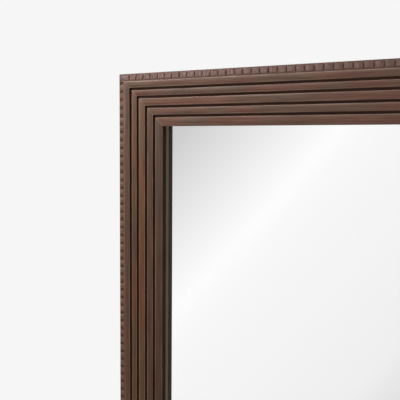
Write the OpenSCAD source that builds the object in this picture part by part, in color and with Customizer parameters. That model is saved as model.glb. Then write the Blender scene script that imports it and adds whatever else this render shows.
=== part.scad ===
// Full-length over-the-door mirror: a mitred timber frame of five crowned bands
// with a toothed outer edge, a silvered pane, and two sliding door hooks behind it.
// The glass faces -Y, +X is to the viewer's right and +Z is up. The origin is the
// middle of the bounding box at its base. All sizes are in millimetres.

/* [Frame] */
// Width of the frame over its outer edges
frame_w = 430; // [390:1:600]
// Height of the frame over its outer edges
frame_h = 1290; // [1000:1:1600]
// Depth of the moulding, from its rear face to the crowns of the bands
frame_depth = 20; // [19:0.5:26]

/* [Bands of the moulding] */
// Face of the first band, next to the toothed edge
band_1_w = 5.6; // [5:0.1:8]
// Face of the second band
band_2_w = 5; // [4.5:0.1:7]
// Face of the third band
band_3_w = 6.1; // [5.5:0.1:8]
// Face of the fourth band
band_4_w = 5.7; // [5:0.1:8]
// Face of the fifth band, next to the glass
band_5_w = 7.1; // [6.5:0.1:10]
// Width of the grooves between the bands
groove_w = 2; // [1:0.1:2.5]
// Depth of the grooves
groove_depth = 3; // [2:0.1:3.5]
// Rise of each band's crown over its edges
crown_rise = 0.3; // [0.1:0.05:0.6]
// Radius that eases the edges of the bands
band_ease = 0.4; // [0.3:0.1:0.8]

/* [Toothed edge] */
// Width of the toothed strip
strip_w = 6.5; // [5:0.1:7]
// How far the strip's face falls from its inner edge to its bevel
strip_slope = 0.7; // [0.3:0.1:1.5]
// Width of the bevel along the strip's outer edge
bevel_w = 1.3; // [0.8:0.1:2]
// Depth of the bevel
bevel_depth = 2; // [1.2:0.1:2.5]
// How far the strip's inner edge lies below the edge of the first band
strip_step = 0.3; // [0.1:0.1:1]
// Height of the strip's outer side, above its seat in the frame
strip_side = 4.5; // [3:0.1:6]
// Pitch of the teeth, before it is evened out over a side
tooth_pitch = 6.8; // [6:0.1:10]
// Gap between two teeth
tooth_gap = 2.4; // [1.5:0.1:3.6]
// Depth of the gaps under the strip's face
gap_depth = 1; // [0.6:0.1:1.6]
// Width of the plain rim between the gaps and the first band
rim_w = 1.3; // [0.8:0.1:2]
// Length of a rail's first tooth at each corner, along the outer edge
rail_end_tooth = 10.7; // [7.2:0.1:12]
// Length of a stile's first tooth at each corner, along the outer edge
stile_end_tooth = 7.2; // [7.2:0.1:12]

/* [Glass and backing] */
// Depth of the frame's lip in front of the glass
lip_depth = 6.5; // [5:0.1:7]
// Width of the glass's edge that the lip covers, with the play around the glass
rabbet_w = 6.6; // [6:0.1:8]
// Radius that eases the sight edge of the frame
sight_ease = 0.4; // [0.3:0.1:1.5]
// Thickness of the glass
glass_t = 4; // [3:0.5:5]
// Play between the glass's edge and the frame
glass_play = 1.5; // [1:0.1:2.5]
// Thickness of the silver and its paint
silver_t = 0.2; // [0.1:0.1:0.4]
// Thickness of the backing board
board_t = 3; // [2:0.5:4]
// Length of the pads that centre the glass
pad_l = 30; // [15:1:50]
// Length of a framer's point, along the frame
point_l = 15; // [10:1:20]
// Width of a framer's point that stands out over the board
point_reach = 6.5; // [5:0.5:8]
// Thickness of a framer's point
point_t = 0.6; // [0.4:0.1:0.8]

/* [Door hooks] */
// Distance between the middles of the two hooks
hook_spacing = 260; // [200:1:300]
// Width of a hook's strap
hook_w = 25; // [20:1:35]
// Thickness of a hook's strap
hook_t = 1.8; // [1.2:0.1:2.5]
// Inner radius of a hook's bends
bend_r = 2.5; // [2:0.1:4]
// Travel of a hook in its slot
hook_travel = 80; // [40:1:110]
// How far a lowered hook lies below the top of the frame
hook_stow = 2; // [1:0.5:6]
// Thickest door that the hooks go over
door_t = 45; // [35:1:50]
// Length of a hook's tongue behind the door, from the top of the hook
tongue_l = 42; // [30:1:60]
// Thickness of the felt inside a hook
felt_t = 1.5; // [1:0.1:3]
// Radius of the strap's rounded corners
strap_corner = 6; // [3:0.5:9]
// Distance between the guide screw and the thumbscrew
screw_spacing = 15; // [14:0.5:18]
// Diameter of the hole for a screw into the door's top edge
lock_hole_d = 4.2; // [3:0.1:6]

/* [Wall and door hardware] */
// Height of the rubber bumpers behind the frame
bumper_h = 9; // [8.5:0.5:14]
// Diameter of the bumpers at the frame
bumper_d = 20; // [16:1:26]
// Distance of the bumpers from the frame's upper and lower edges
bumper_inset = 75; // [55:1:120]
// Distance of the hanging rings' pivots from the frame's upper edge
ring_drop = 230; // [160:1:400]
// Width inside a hanging ring
ring_inner_w = 16; // [14:0.5:20]
// Diameter of a hanging ring's wire
ring_wire = 3; // [2:0.1:4]

/* [Hidden] */
$fn = 48;

timber = "#71564b";
tooth_timber = "#7c6258";
pane = "#c8d8d0";
silver = "#d8dadb";
board = "#8a6a48";
rubber = "#262626";
felt = "#55575c";
black_steel = "#2a2a2c";
zinc = "#b9bcc0";
brass = "#b59a55";

// Clearances
fit_play = 0.05;      // radial, round a screw or insert in timber
stud_play = 0.05;     // radial, round a thumbscrew's stud in its insert
slide_play = 0.2;     // each side of a strap that slides
slot_play = 0.25;     // each side of a screw in a strap's slot
ring_play = 0.1;      // radial, round a ring's bar in its strap
ring_lift = 0.3;      // between a swinging ring and what it lies over
bend_gap = 0.6;       // between the guide screw's washer and a lowered hook's bend
cut_past = 1;         // how far a cutter runs past the face it opens

// Screws: the parts that more than one screw shares
screw_head_h = 2.4;
guide_d = 4.9;
guide_thread_d = 4;
guide_thread_l = 12;
guide_head_d = 9.5;
washer_d = 12;
washer_t = 1;
insert_d = 8;
insert_l = 11;
thumb_head_d = 16;
thumb_head_h = 4.2;
thumb_stud_l = 10;
thumb_flutes = 20;
thumb_flute_r = 0.8;
bumper_screw_d = 3.4;
bumper_screw_l = 16;
bumper_bore_d = 9.4;
bumper_floor_h = 3;
bumper_taper = 1.5;
strap_screw_d = 3;
strap_screw_l = 12;
strap_head_d = 6.4;
strap_head_h = 1.8;

// Rings and their straps
ring_strap_w = 12;
ring_strap_t = 1;
ring_strap_l = 40;
ring_straight = 6;
ring_screw_drops = [24, 34];

// Nails, points and pads
nail_leg = 8;
nail_t = 0.5;
nail_depth = 11;
nail_insets = [12, 28];
point_drive = 5;
rail_points = 2;
stile_points = 5;
side_pads = 2;
pad_inset = 60;
rear_chamfer = 1;

// Places that follow from the sizes
bands = [band_1_w, band_2_w, band_3_w, band_4_w, band_5_w];
last_band = len(bands) - 1;
function sum_to(list, n) = n <= 0 ? 0 : list[n - 1] + sum_to(list, n - 1);
function band_u(i) = strip_w + sum_to(bands, i) + i * groove_w;
face_w = band_u(last_band) + bands[last_band];
solid_w = face_w - rabbet_w;
overall_depth = frame_depth + bumper_h + door_t + felt_t + hook_t;
front_y = -overall_depth / 2;
rear_y = front_y + frame_depth;
bumper_y = rear_y + bumper_h;
back_y = overall_depth / 2;
band_edge_w = frame_depth - crown_rise;
strip_inner_w = band_edge_w - band_ease - strip_step;
shoulder_w = strip_inner_w - strip_slope;
strip_outer_w = shoulder_w - bevel_depth;
seat_w = strip_outer_w - strip_side;
glass_front_w = frame_depth - lip_depth;
glass_back_w = glass_front_w - glass_t;
silver_back_w = glass_back_w - silver_t;
board_back_w = silver_back_w - board_t;
pane_w = frame_w - 2 * (solid_w + glass_play);
pane_h = frame_h - 2 * (solid_w + glass_play);
hook_x = hook_spacing / 2;
hook_top = frame_h - hook_stow;
bend_out = bend_r + hook_t;
leg_y = rear_y + slide_play;
slot_w = guide_d + 2 * slot_play;
guide_z = hook_top - bend_out - bend_gap - washer_d / 2;
thumb_z = guide_z - screw_spacing;
slot_top = guide_z + slot_w / 2;
slot_bottom = thumb_z - slot_w / 2 - hook_travel;
leg_bottom = slot_bottom - strap_corner - hook_t;
tongue_y = back_y - hook_t;
door_y = (bumper_y + tongue_y - felt_t) / 2;
stile_x = -frame_w / 2 + solid_w / 2;
ring_z = frame_h - ring_drop;
ring_bar_r = ring_wire / 2;
ring_y = rear_y + ring_strap_t + ring_lift + ring_bar_r;
loop_r = ring_bar_r + ring_play;

// The moulding's outline: u runs inward from the outer edge, w forward from the rear face
crown_steps = 6;
ease_steps = 3;
function crown(u0, b, e, i) =
    let (half = (b - 2 * e) / 2, t = 2 * i / crown_steps - 1)
    [u0 + e + half * (1 + t), frame_depth - crown_rise * t * t];
function outer_ease(u0, e, i) =
    let (a = 90 * i / ease_steps)
    [u0 + e * (1 - cos(a)), band_edge_w - e * (1 - sin(a))];
function inner_ease(u1, e, i) =
    let (a = 90 * i / ease_steps)
    [u1 - e * (1 - sin(a)), band_edge_w - e * (1 - cos(a))];
function band_top(u0, b, e) = [for (i = [1 : crown_steps - 1]) crown(u0, b, e, i)];
function band_outline(n) =
    let (u0 = band_u(n), b = bands[n], e = n == last_band ? sight_ease : band_ease)
    concat(
        [for (i = [0 : ease_steps]) outer_ease(u0, band_ease, i)],
        band_top(u0, b, e),
        [for (i = [0 : ease_steps]) inner_ease(u0 + b, e, i)]
    );
function grooved_face() = [
    for (n = [0 : last_band])
        for (p = concat(
            n == 0 ? [] : [[band_u(n), frame_depth - groove_depth]],
            band_outline(n),
            n == last_band ? [] : [[band_u(n) + bands[n], frame_depth - groove_depth]]
        )) p
];
function moulding_outline() = concat(
    [[rear_chamfer, 0], [0, rear_chamfer], [0, seat_w], [strip_w, seat_w]],
    grooved_face(),
    [[face_w, glass_front_w], [solid_w, glass_front_w], [solid_w, 0]]
);

// Turns an outline in u and w into a bar along X, its outer edge at Z = 0
module bar(outline, length) {
    translate([-length / 2, rear_y, 0])
        rotate([90, 0, 90])
            linear_extrude(length)
                polygon([for (p = outline) [-p[1], -p[0]]]);
}

// The wedge-ended space of one side of the frame, between its two mitres
module mitred(length) {
    reach = face_w + cut_past;
    intersection() {
        children();
        translate([0, rear_y + cut_past, 0])
            rotate([90, 0, 0])
                linear_extrude(frame_depth + 2 * cut_past)
                    polygon([
                        [-length / 2, 0], [length / 2, 0],
                        [length / 2 - reach, -reach], [reach - length / 2, -reach]
                    ]);
    }
}

module at_top() { translate([0, 0, frame_h]) children(); }
module at_left() { translate([-frame_w / 2, 0, frame_h / 2]) rotate([0, -90, 0]) children(); }
module flip_x() { mirror([1, 0, 0]) children(); }
module flip_z() { translate([0, 0, frame_h]) mirror([0, 0, 1]) children(); }

// A round bar that runs towards the back from the plane y
module pin(r, y, l) { translate([0, y, 0]) rotate([-90, 0, 0]) cylinder(r = r, h = l); }

module moulding(length) { mitred(length) bar(moulding_outline(), length); }

// A flat blade of the corner nails: an L that crosses the mitre, apex on the mitre
module corner_nail(inset, play) {
    t = nail_t + 2 * play;
    l = nail_leg + nail_t / 2 + 2 * play;
    translate([-frame_w / 2 + inset - t / 2, rear_y - nail_depth, frame_h - inset + t / 2])
        union() {
            translate([0, 0, -t]) cube([l, nail_depth, t]);
            translate([0, 0, -l]) cube([t, nail_depth, l]);
        }
}

module corner_nails(play) { for (inset = nail_insets) corner_nail(inset, play); }

// One framer's point, driven into the rabbet wall of the bar that lies along X at Z = 0
module point_blade(play) {
    translate([
        -point_l / 2 - play,
        rear_y - board_back_w,
        -solid_w - glass_play - point_reach
    ])
        cube([point_l + 2 * play, point_t + play, point_reach + glass_play + point_drive + play]);
}

function spread(i, n, length) = length * ((i + 0.5) / n - 0.5);

module rail_point_row(play) {
    for (i = [0 : rail_points - 1])
        translate([spread(i, rail_points, pane_w), 0, 0]) point_blade(play);
}

module stile_point_row(play) {
    for (i = [0 : stile_points - 1])
        translate([spread(i, stile_points, pane_h), 0, 0]) point_blade(play);
}

// The frame's four sides
module top_rail() {
    color(timber)
        difference() {
            at_top() moulding(frame_w);
            at_top() rail_point_row(fit_play);
            for (s = [0, 1]) mirror([s, 0, 0]) {
                corner_nails(fit_play);
                translate([-hook_x, 0, guide_z])
                    pin(guide_thread_d / 2 + fit_play, rear_y - guide_thread_l, guide_thread_l + cut_past);
                translate([-hook_x, 0, thumb_z])
                    pin(insert_d / 2 + fit_play, rear_y - insert_l, insert_l + cut_past);
            }
        }
}

module bottom_rail() {
    color(timber)
        flip_z() difference() {
            at_top() moulding(frame_w);
            at_top() rail_point_row(fit_play);
            for (s = [0, 1]) mirror([s, 0, 0]) corner_nails(fit_play);
        }
}

module left_stile() {
    color(timber)
        difference() {
            at_left() moulding(frame_h);
            at_left() stile_point_row(fit_play);
            corner_nails(fit_play);
            flip_z() corner_nails(fit_play);
            for (z = [bumper_inset, frame_h - bumper_inset])
                translate([stile_x, 0, z])
                    pin(
                        bumper_screw_d / 2 + fit_play,
                        rear_y + bumper_floor_h - bumper_screw_l,
                        bumper_screw_l
                    );
            for (drop = ring_screw_drops)
                translate([stile_x, 0, ring_z - drop])
                    pin(
                        strap_screw_d / 2 + fit_play,
                        rear_y + ring_strap_t - strap_screw_l,
                        strap_screw_l
                    );
        }
}

// The toothed strip of one side, whose first teeth have a length of their own: gaps are
// cut into a bevelled bar from its outer edge, up to the rim
module dentil_strip(length, end_tooth) {
    gaps = round((length - 2 * end_tooth - tooth_gap) / tooth_pitch);
    pitch = (length - 2 * end_tooth - tooth_gap) / gaps;
    gap_end = strip_w - rim_w;
    fall = strip_slope / (strip_w - bevel_w);
    floor_w = strip_inner_w - gap_depth - fall * rim_w;
    over = strip_inner_w + cut_past;
    color(tooth_timber)
        difference() {
            mitred(length) bar(
                [
                    [0, seat_w], [0, strip_outer_w], [bevel_w, shoulder_w],
                    [strip_w, strip_inner_w], [strip_w, seat_w]
                ],
                length
            );
            for (i = [0 : gaps])
                translate([end_tooth + tooth_gap / 2 + i * pitch - length / 2, 0, 0])
                    bar(
                        [
                            [-cut_past, floor_w - fall * (gap_end + cut_past)],
                            [-cut_past, over], [gap_end, over], [gap_end, floor_w]
                        ],
                        tooth_gap
                    );
        }
}

// A sheet between two heights w, as wide and high as the pane
module sheet(w_back, t) {
    translate([-pane_w / 2, rear_y - w_back - t, (frame_h - pane_h) / 2])
        cube([pane_w, t, pane_h]);
}

module mirror_glass() { color(pane) sheet(glass_back_w, glass_t); }
module mirror_silvering() { color(silver) sheet(silver_back_w, silver_t); }
module backing_board() { color(board) sheet(board_back_w, board_t); }

// Pads between the glass's edge and the frame: two carry it, two centre each side
module glass_pads() {
    color(rubber) {
        for (x = [-1, 1])
            translate([x * (pane_w / 2 - pad_inset) - pad_l / 2, rear_y - glass_front_w, solid_w])
                cube([pad_l, glass_t, glass_play]);
        for (s = [0, 1]) mirror([s, 0, 0])
            for (i = [0 : side_pads - 1])
                translate([
                    -frame_w / 2 + solid_w,
                    rear_y - glass_front_w,
                    frame_h / 2 + spread(i, side_pads, pane_h) - pad_l / 2
                ])
                    cube([glass_play, glass_t, pad_l]);
    }
}

module framers_points() {
    color(zinc) {
        at_top() rail_point_row(0);
        flip_z() at_top() rail_point_row(0);
        at_left() stile_point_row(0);
        flip_x() at_left() stile_point_row(0);
    }
}

module corner_v_nails() {
    color(zinc)
        for (s = [0, 1]) mirror([s, 0, 0]) {
            corner_nails(0);
            flip_z() corner_nails(0);
        }
}

// A strip of strap in the XZ plane, its two lower corners round
module strap_plan(width, bottom, top) {
    r = strap_corner;
    translate([-width / 2, bottom + r]) square([width, top - bottom - r]);
    translate([r - width / 2, bottom]) square([width - 2 * r, r]);
    for (x = [r - width / 2, width / 2 - r]) translate([x, bottom + r]) circle(r);
}

module slot_plan() {
    translate([-slot_w / 2, slot_bottom + slot_w / 2]) square([slot_w, slot_top - slot_bottom - slot_w]);
    for (z = [slot_bottom + slot_w / 2, slot_top - slot_w / 2]) translate([0, z]) circle(slot_w / 2);
}

// Stands a plan in the XZ plane up as a plate whose front face is at y
module plate(y, t) { translate([0, y + t, 0]) rotate([90, 0, 0]) linear_extrude(t) children(); }

// A quarter of a bend in the YZ plane, from its middle towards (sy, 1)
module quarter_bend(sy) {
    intersection() {
        difference() {
            circle(bend_out);
            circle(bend_r);
        }
        translate([sy > 0 ? 0 : -bend_out, 0]) square(bend_out);
    }
}

module left_door_hook() {
    shoulder = hook_top - bend_out;
    color(black_steel)
        translate([-hook_x, 0, 0])
            difference() {
                union() {
                    plate(leg_y, hook_t) difference() {
                        strap_plan(hook_w, leg_bottom, shoulder);
                        slot_plan();
                    }
                    plate(tongue_y, hook_t) strap_plan(hook_w, hook_top - tongue_l, shoulder);
                    translate([-hook_w / 2, 0, 0])
                        rotate([90, 0, 90])
                            linear_extrude(hook_w) {
                                translate([leg_y + bend_out, hook_top - hook_t])
                                    square([back_y - leg_y - 2 * bend_out, hook_t]);
                                translate([leg_y + bend_out, shoulder]) quarter_bend(-1);
                                translate([back_y - bend_out, shoulder]) quarter_bend(1);
                            }
                }
                translate([0, door_y, hook_top - hook_t - cut_past])
                    cylinder(r = lock_hole_d / 2, h = hook_t + 2 * cut_past);
            }
}

module left_hook_top_felt() {
    front = bumper_y + felt_t;
    back = tongue_y - bend_r;
    color(felt)
        translate([-hook_x, 0, hook_top - hook_t - felt_t])
            difference() {
                translate([-hook_w / 2 + felt_t, front, 0])
                    cube([hook_w - 2 * felt_t, back - front, felt_t]);
                translate([0, door_y, -cut_past])
                    cylinder(r = lock_hole_d / 2 + felt_t, h = felt_t + 2 * cut_past);
            }
}

module left_hook_tongue_felt() {
    bottom = hook_top - tongue_l + strap_corner;
    top = hook_top - bend_out;
    color(felt)
        translate([-hook_x - hook_w / 2 + felt_t, tongue_y - felt_t, bottom])
            cube([hook_w - 2 * felt_t, felt_t, top - bottom]);
}

// Guide screws: a shoulder runs in the slot, and the head holds the washer down
washer_y = leg_y + hook_t + slide_play;
module guide_screws() {
    color(zinc)
        for (x = [-hook_x, hook_x]) translate([x, 0, guide_z]) {
            pin(guide_thread_d / 2, rear_y - guide_thread_l + fit_play, guide_thread_l);
            pin(guide_d / 2, rear_y, washer_y + washer_t - rear_y);
            difference() {
                pin(guide_head_d / 2, washer_y + washer_t, screw_head_h);
                for (a = [0, 90])
                    translate([0, washer_y + washer_t + screw_head_h - screw_head_h / 4, 0])
                        rotate([0, a, 0]) cube([guide_d, screw_head_h / 2, guide_d / 5], center = true);
            }
        }
}

module slot_washers() {
    color(zinc)
        for (x = [-hook_x, hook_x])
            for (z = [guide_z, thumb_z])
                translate([x, 0, z]) difference() {
                    pin(washer_d / 2, washer_y, washer_t);
                    pin(guide_d / 2 + stud_play, washer_y - cut_past, washer_t + 2 * cut_past);
                }
}

module insert_nuts() {
    color(brass)
        for (x = [-hook_x, hook_x])
            translate([x, 0, thumb_z]) difference() {
                pin(insert_d / 2, rear_y - insert_l + fit_play, insert_l - fit_play);
                pin(guide_d / 2 + stud_play, rear_y - thumb_stud_l - stud_play, insert_l);
            }
}

module left_thumbscrew() {
    head_y = washer_y + washer_t + slide_play;
    color(black_steel)
        translate([-hook_x, 0, thumb_z]) {
            pin(guide_d / 2, rear_y - thumb_stud_l, head_y - rear_y + thumb_stud_l);
            difference() {
                pin(thumb_head_d / 2, head_y, thumb_head_h);
                for (i = [0 : thumb_flutes - 1])
                    rotate([0, i * 360 / thumb_flutes, 0])
                        translate([thumb_head_d / 2, 0, 0])
                            pin(thumb_flute_r, head_y - cut_past, thumb_head_h + 2 * cut_past);
            }
        }
}

// Bumpers: tapered rubber with the screw's head sunk below the face that rests on the door
module upper_left_bumper() {
    color(rubber)
        translate([stile_x, rear_y, frame_h - bumper_inset])
            difference() {
                rotate([-90, 0, 0])
                    cylinder(r1 = bumper_d / 2, r2 = bumper_d / 2 - bumper_taper, h = bumper_h);
                pin(bumper_bore_d / 2, bumper_floor_h, bumper_h);
                pin(bumper_screw_d / 2 + fit_play, -cut_past, bumper_h);
            }
}

module bumper_screws() {
    color(zinc)
        for (s = [0, 1]) mirror([s, 0, 0])
            for (z = [bumper_inset, frame_h - bumper_inset])
                translate([stile_x, 0, z]) {
                    y = rear_y + bumper_floor_h;
                    pin(bumper_screw_d / 2, y - bumper_screw_l + fit_play, bumper_screw_l - fit_play);
                    difference() {
                        pin(bumper_bore_d / 2 - fit_play * 4, y, screw_head_h);
                        for (a = [0, 90])
                            translate([0, y + screw_head_h - screw_head_h / 4, 0])
                                rotate([0, a, 0])
                                    cube([guide_d, screw_head_h / 2, guide_d / 5], center = true);
                    }
                }
}

// A strap folded round the ring's bar, and screwed to the stile below it
module left_ring_strap() {
    out_r = loop_r + ring_strap_t;
    color(zinc)
        translate([stile_x, 0, ring_z])
            difference() {
                translate([-ring_strap_w / 2, 0, 0])
                    rotate([90, 0, 90])
                        linear_extrude(ring_strap_w)
                            difference() {
                                union() {
                                    translate([rear_y, -ring_strap_l]) square([ring_strap_t, ring_strap_l]);
                                    translate([ring_y, 0]) circle(out_r);
                                }
                                translate([ring_y, 0]) circle(loop_r);
                                translate([rear_y - out_r, -out_r]) square([out_r, 2 * out_r]);
                            }
                for (drop = ring_screw_drops)
                    translate([0, 0, -drop])
                        pin(strap_screw_d / 2 + fit_play, rear_y - cut_past, ring_strap_t + 2 * cut_past);
            }
}

module ring_strap_screws() {
    color(zinc)
        for (s = [0, 1]) mirror([s, 0, 0])
            for (drop = ring_screw_drops)
                translate([stile_x, 0, ring_z - drop]) {
                    y = rear_y + ring_strap_t;
                    pin(strap_screw_d / 2, y - strap_screw_l + fit_play, strap_screw_l - fit_play);
                    pin(strap_head_d / 2, y, strap_head_h);
                }
}

// The ring hangs from its bar: a bar, two straight sides and a half turn below
module left_hanging_ring() {
    side = ring_inner_w / 2 + ring_bar_r;
    color(zinc)
        translate([stile_x, ring_y, ring_z]) {
            rotate([0, 90, 0]) cylinder(r = ring_bar_r, h = 2 * side, center = true);
            for (x = [-side, side]) {
                translate([x, 0, 0]) sphere(ring_bar_r);
                translate([x, 0, -ring_straight]) cylinder(r = ring_bar_r, h = ring_straight);
            }
            translate([0, 0, -ring_straight])
                rotate([90, 0, 0])
                    rotate([0, 0, 180])
                        rotate_extrude(angle = 180) translate([side, 0]) circle(ring_bar_r);
        }
}

top_rail();
bottom_rail();
left_stile();
flip_x() left_stile();  // right_stile
at_top() dentil_strip(frame_w, rail_end_tooth);  // top_dentil_strip
flip_z() at_top() dentil_strip(frame_w, rail_end_tooth);  // bottom_dentil_strip
at_left() dentil_strip(frame_h, stile_end_tooth);  // left_dentil_strip
flip_x() at_left() dentil_strip(frame_h, stile_end_tooth);  // right_dentil_strip
mirror_glass();
mirror_silvering();
glass_pads();
backing_board();
framers_points();
corner_v_nails();
left_door_hook();
flip_x() left_door_hook();  // right_door_hook
left_hook_top_felt();
flip_x() left_hook_top_felt();  // right_hook_top_felt
left_hook_tongue_felt();
flip_x() left_hook_tongue_felt();  // right_hook_tongue_felt
guide_screws();
slot_washers();
insert_nuts();
left_thumbscrew();
flip_x() left_thumbscrew();  // right_thumbscrew
upper_left_bumper();
flip_x() upper_left_bumper();  // upper_right_bumper
flip_z() upper_left_bumper();  // lower_left_bumper
flip_x() flip_z() upper_left_bumper();  // lower_right_bumper
bumper_screws();
left_ring_strap();
flip_x() left_ring_strap();  // right_ring_strap
left_hanging_ring();
flip_x() left_hanging_ring();  // right_hanging_ring
ring_strap_screws();
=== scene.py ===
"""Looks of the over-the-door mirror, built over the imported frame.

Everything is in metres, in the frame of the part: the glass faces -Y, +X is to the
viewer's right, +Z is up, and the origin is the middle of the box at its base.
"""

from __future__ import annotations

import logging
import math
from collections.abc import Callable, Sequence
from dataclasses import dataclass, field, fields
from enum import Enum
from functools import partial

import bmesh
import bpy
from mathutils import Matrix, Vector, noise


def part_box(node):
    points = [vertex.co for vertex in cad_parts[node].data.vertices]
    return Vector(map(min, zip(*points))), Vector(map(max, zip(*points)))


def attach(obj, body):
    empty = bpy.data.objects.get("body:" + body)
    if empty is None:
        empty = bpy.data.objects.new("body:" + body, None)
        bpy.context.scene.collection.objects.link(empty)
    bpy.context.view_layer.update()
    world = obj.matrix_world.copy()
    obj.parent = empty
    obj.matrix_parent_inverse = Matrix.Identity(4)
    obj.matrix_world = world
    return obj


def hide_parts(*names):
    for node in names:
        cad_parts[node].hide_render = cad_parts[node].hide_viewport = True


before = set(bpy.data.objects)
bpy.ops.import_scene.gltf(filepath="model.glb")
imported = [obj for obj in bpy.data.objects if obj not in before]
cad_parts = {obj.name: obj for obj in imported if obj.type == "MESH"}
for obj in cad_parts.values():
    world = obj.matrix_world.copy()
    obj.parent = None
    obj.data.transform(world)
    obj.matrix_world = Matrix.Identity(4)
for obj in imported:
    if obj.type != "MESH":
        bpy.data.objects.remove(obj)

log = logging.getLogger("door_mirror")
MM = 0.001
# Vertices nearer than this are one; faces flatter than this are one; edges sharper
# than this get rounded (the last two in degrees)
MERGE, FLAT, SHARP = 2e-6, 0.6, 38.0
# Hooks, bumpers and rings stand on both sides
HANDS = ("left", "right")

Point = tuple[float, float]
Colour = tuple[float, float, float, float]
# Two values of a texture, and the two values that they become
Range = tuple[float, float, float, float]
Piece = bpy.types.Object
BMesh = bmesh.types.BMesh
Tree = bpy.types.NodeTree
Socket = bpy.types.NodeSocket
Adder = Callable[..., Socket]
Palette = dict[str, bpy.types.Material]

# Node types and node settings that come back often
TIMES, PLUS, MINUS = (f"ShaderNodeMath.{name}" for name in ("MULTIPLY", "ADD", "SUBTRACT"))
ABOVE, BELOW = "ShaderNodeMath.GREATER_THAN", "ShaderNodeMath.LESS_THAN"
HIGHER, LOWER = "ShaderNodeMath.MAXIMUM", "ShaderNodeMath.MINIMUM"
SIZE_OF, SIGN_OF = "ShaderNodeMath.ABSOLUTE", "ShaderNodeMath.SIGN"
VECTOR_TIMES, VECTOR_SCALED = "ShaderNodeVectorMath.MULTIPLY", "ShaderNodeVectorMath.SCALE"
VECTOR_DOT, VECTOR_LENGTH = "ShaderNodeVectorMath.DOT_PRODUCT", "ShaderNodeVectorMath.LENGTH"
MIX, RANGE, RAMP = "ShaderNodeMix", "ShaderNodeMapRange", "ShaderNodeValToRGB"
NOISE = "ShaderNodeTexNoise"
COORDS, BUMP = "ShaderNodeTexCoord", "ShaderNodeBump"
COMBINE, SEPARATE = "ShaderNodeCombineXYZ", "ShaderNodeSeparateXYZ"
STORE, NAMED = "GeometryNodeStoreNamedAttribute", "GeometryNodeInputNamedAttribute"
OBJECT, REALIZE = "GeometryNodeObjectInfo", "GeometryNodeRealizeInstances"
SET_MATERIAL, RANDOM = "GeometryNodeSetMaterial", "FunctionNodeRandomValue"
COLOUR = {"out": 2, "data_type": "RGBA"}
FLOATS = {"data_type": "FLOAT", "domain": "POINT"}
VECTORS = {"data_type": "FLOAT_VECTOR", "domain": "POINT"}


# Small helpers


def linear(code: str) -> Colour:
    """Turns an sRGB hex colour, such as "#71574b", into linear RGBA."""
    levels = [int(code[i : i + 2], 16) / 255 for i in (1, 3, 5)]
    turned = [v / 12.92 if v <= 0.04045 else ((v + 0.055) / 1.055) ** 2.4 for v in levels]
    return (turned[0], turned[1], turned[2], 1.0)


def grey(level: float) -> Colour:
    """Gives a neutral colour of a linear brightness."""
    return (level, level, level, 1.0)


def add(
    tree: Tree,
    kind: str,
    inputs: Sequence[object] | dict[int | str, object] = (),
    out: int | str = 0,
    **settings: object,
) -> Socket | None:
    """Adds a node with its settings, and fills or links its inputs.

    Args:
        tree: The node tree that the node goes into.
        kind: The node's type name, with its operation after a dot if it has one.
        inputs: Values or output sockets, by input name or index, or as a row that
            starts at the first input. None leaves an input alone.
        out: The output that is handed back, by index or name.
        **settings: Properties of the node itself.

    Returns:
        The output socket, whose .node is the node, or None for a node without outputs.
    """
    kind, _, operation = kind.partition(".")
    node = tree.nodes.new(kind)
    if operation:
        node.operation = operation
    for name, value in settings.items():
        setattr(node, name, value)
    for key, value in inputs.items() if isinstance(inputs, dict) else enumerate(inputs):
        if isinstance(value, Socket):
            tree.links.new(value, node.inputs[key])
        elif value is not None:
            node.inputs[key].default_value = value
    return node.outputs[out] if len(node.outputs) else None


def set_stops(ramp: Socket, *stops: tuple[float, Colour]) -> Socket:
    """Sets the stops of a colour ramp, in rising order, and hands the ramp back."""
    elements = ramp.node.color_ramp.elements
    while len(elements) < len(stops):
        elements.new(1.0)
    for element, (place, colour) in zip(elements, stops):
        element.position, element.color = place, colour
    return ramp


def new_object(name: str, data: bpy.types.ID) -> Piece:
    """Puts a mesh, lamp or camera into the scene as an object at the origin."""
    piece = bpy.data.objects.new(name, data)
    bpy.context.scene.collection.objects.link(piece)
    return piece


def object_from(name: str, bm: BMesh) -> Piece:
    """Turns a bmesh with its faces turned outwards into an object, and frees it."""
    bmesh.ops.recalc_face_normals(bm, faces=bm.faces)
    mesh = bpy.data.meshes.new(name)
    bm.to_mesh(mesh)
    bm.free()
    return new_object(name, mesh)


def discard(*pieces: Piece) -> None:
    """Removes objects that other pieces were made from."""
    for piece in pieces:
        bpy.data.objects.remove(piece)


def plain(piece: Piece) -> Piece:
    """Turns a piece with modifiers into plain mesh, and removes the modifiers."""
    graph = bpy.context.evaluated_depsgraph_get()
    mesh = bpy.data.meshes.new_from_object(
        piece.evaluated_get(graph), preserve_all_data_layers=True, depsgraph=graph
    )
    mesh.name = piece.name
    piece.modifiers.clear()
    piece.data = mesh
    return piece


def shade(piece: Piece, degrees: float = 32.0) -> Piece:
    """Shades a piece smooth, with edges sharper than an angle left sharp."""
    piece.data.shade_smooth()
    piece.data.set_sharp_from_angle(angle=math.radians(degrees))
    return piece


def dress(piece: Piece, palette: Palette, slot: str, body: str, node: str) -> None:
    """Gives a new piece its finish, puts it on its body, and hides the CAD node that it replaces.

    Args:
        piece: The finished plain mesh object.
        palette: The finishes, by slot.
        slot: The record's material slot.
        body: The body that it rides on.
        node: The CAD node that it replaces.
    """
    piece.data.materials.clear()
    piece.data.materials.append(palette[slot])
    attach(piece, body)
    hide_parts(node)
    log.info("%s: %d faces, on body %s", piece.name, len(piece.data.polygons), body)


def paint_node(node: str, finish: bpy.types.Material) -> None:
    """Gives a CAD node that stays as it is a better material."""
    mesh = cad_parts[node].data
    mesh.materials.clear()
    mesh.materials.append(finish)
    log.info("%s: the packed node, with %s", node, finish.name)


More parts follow.
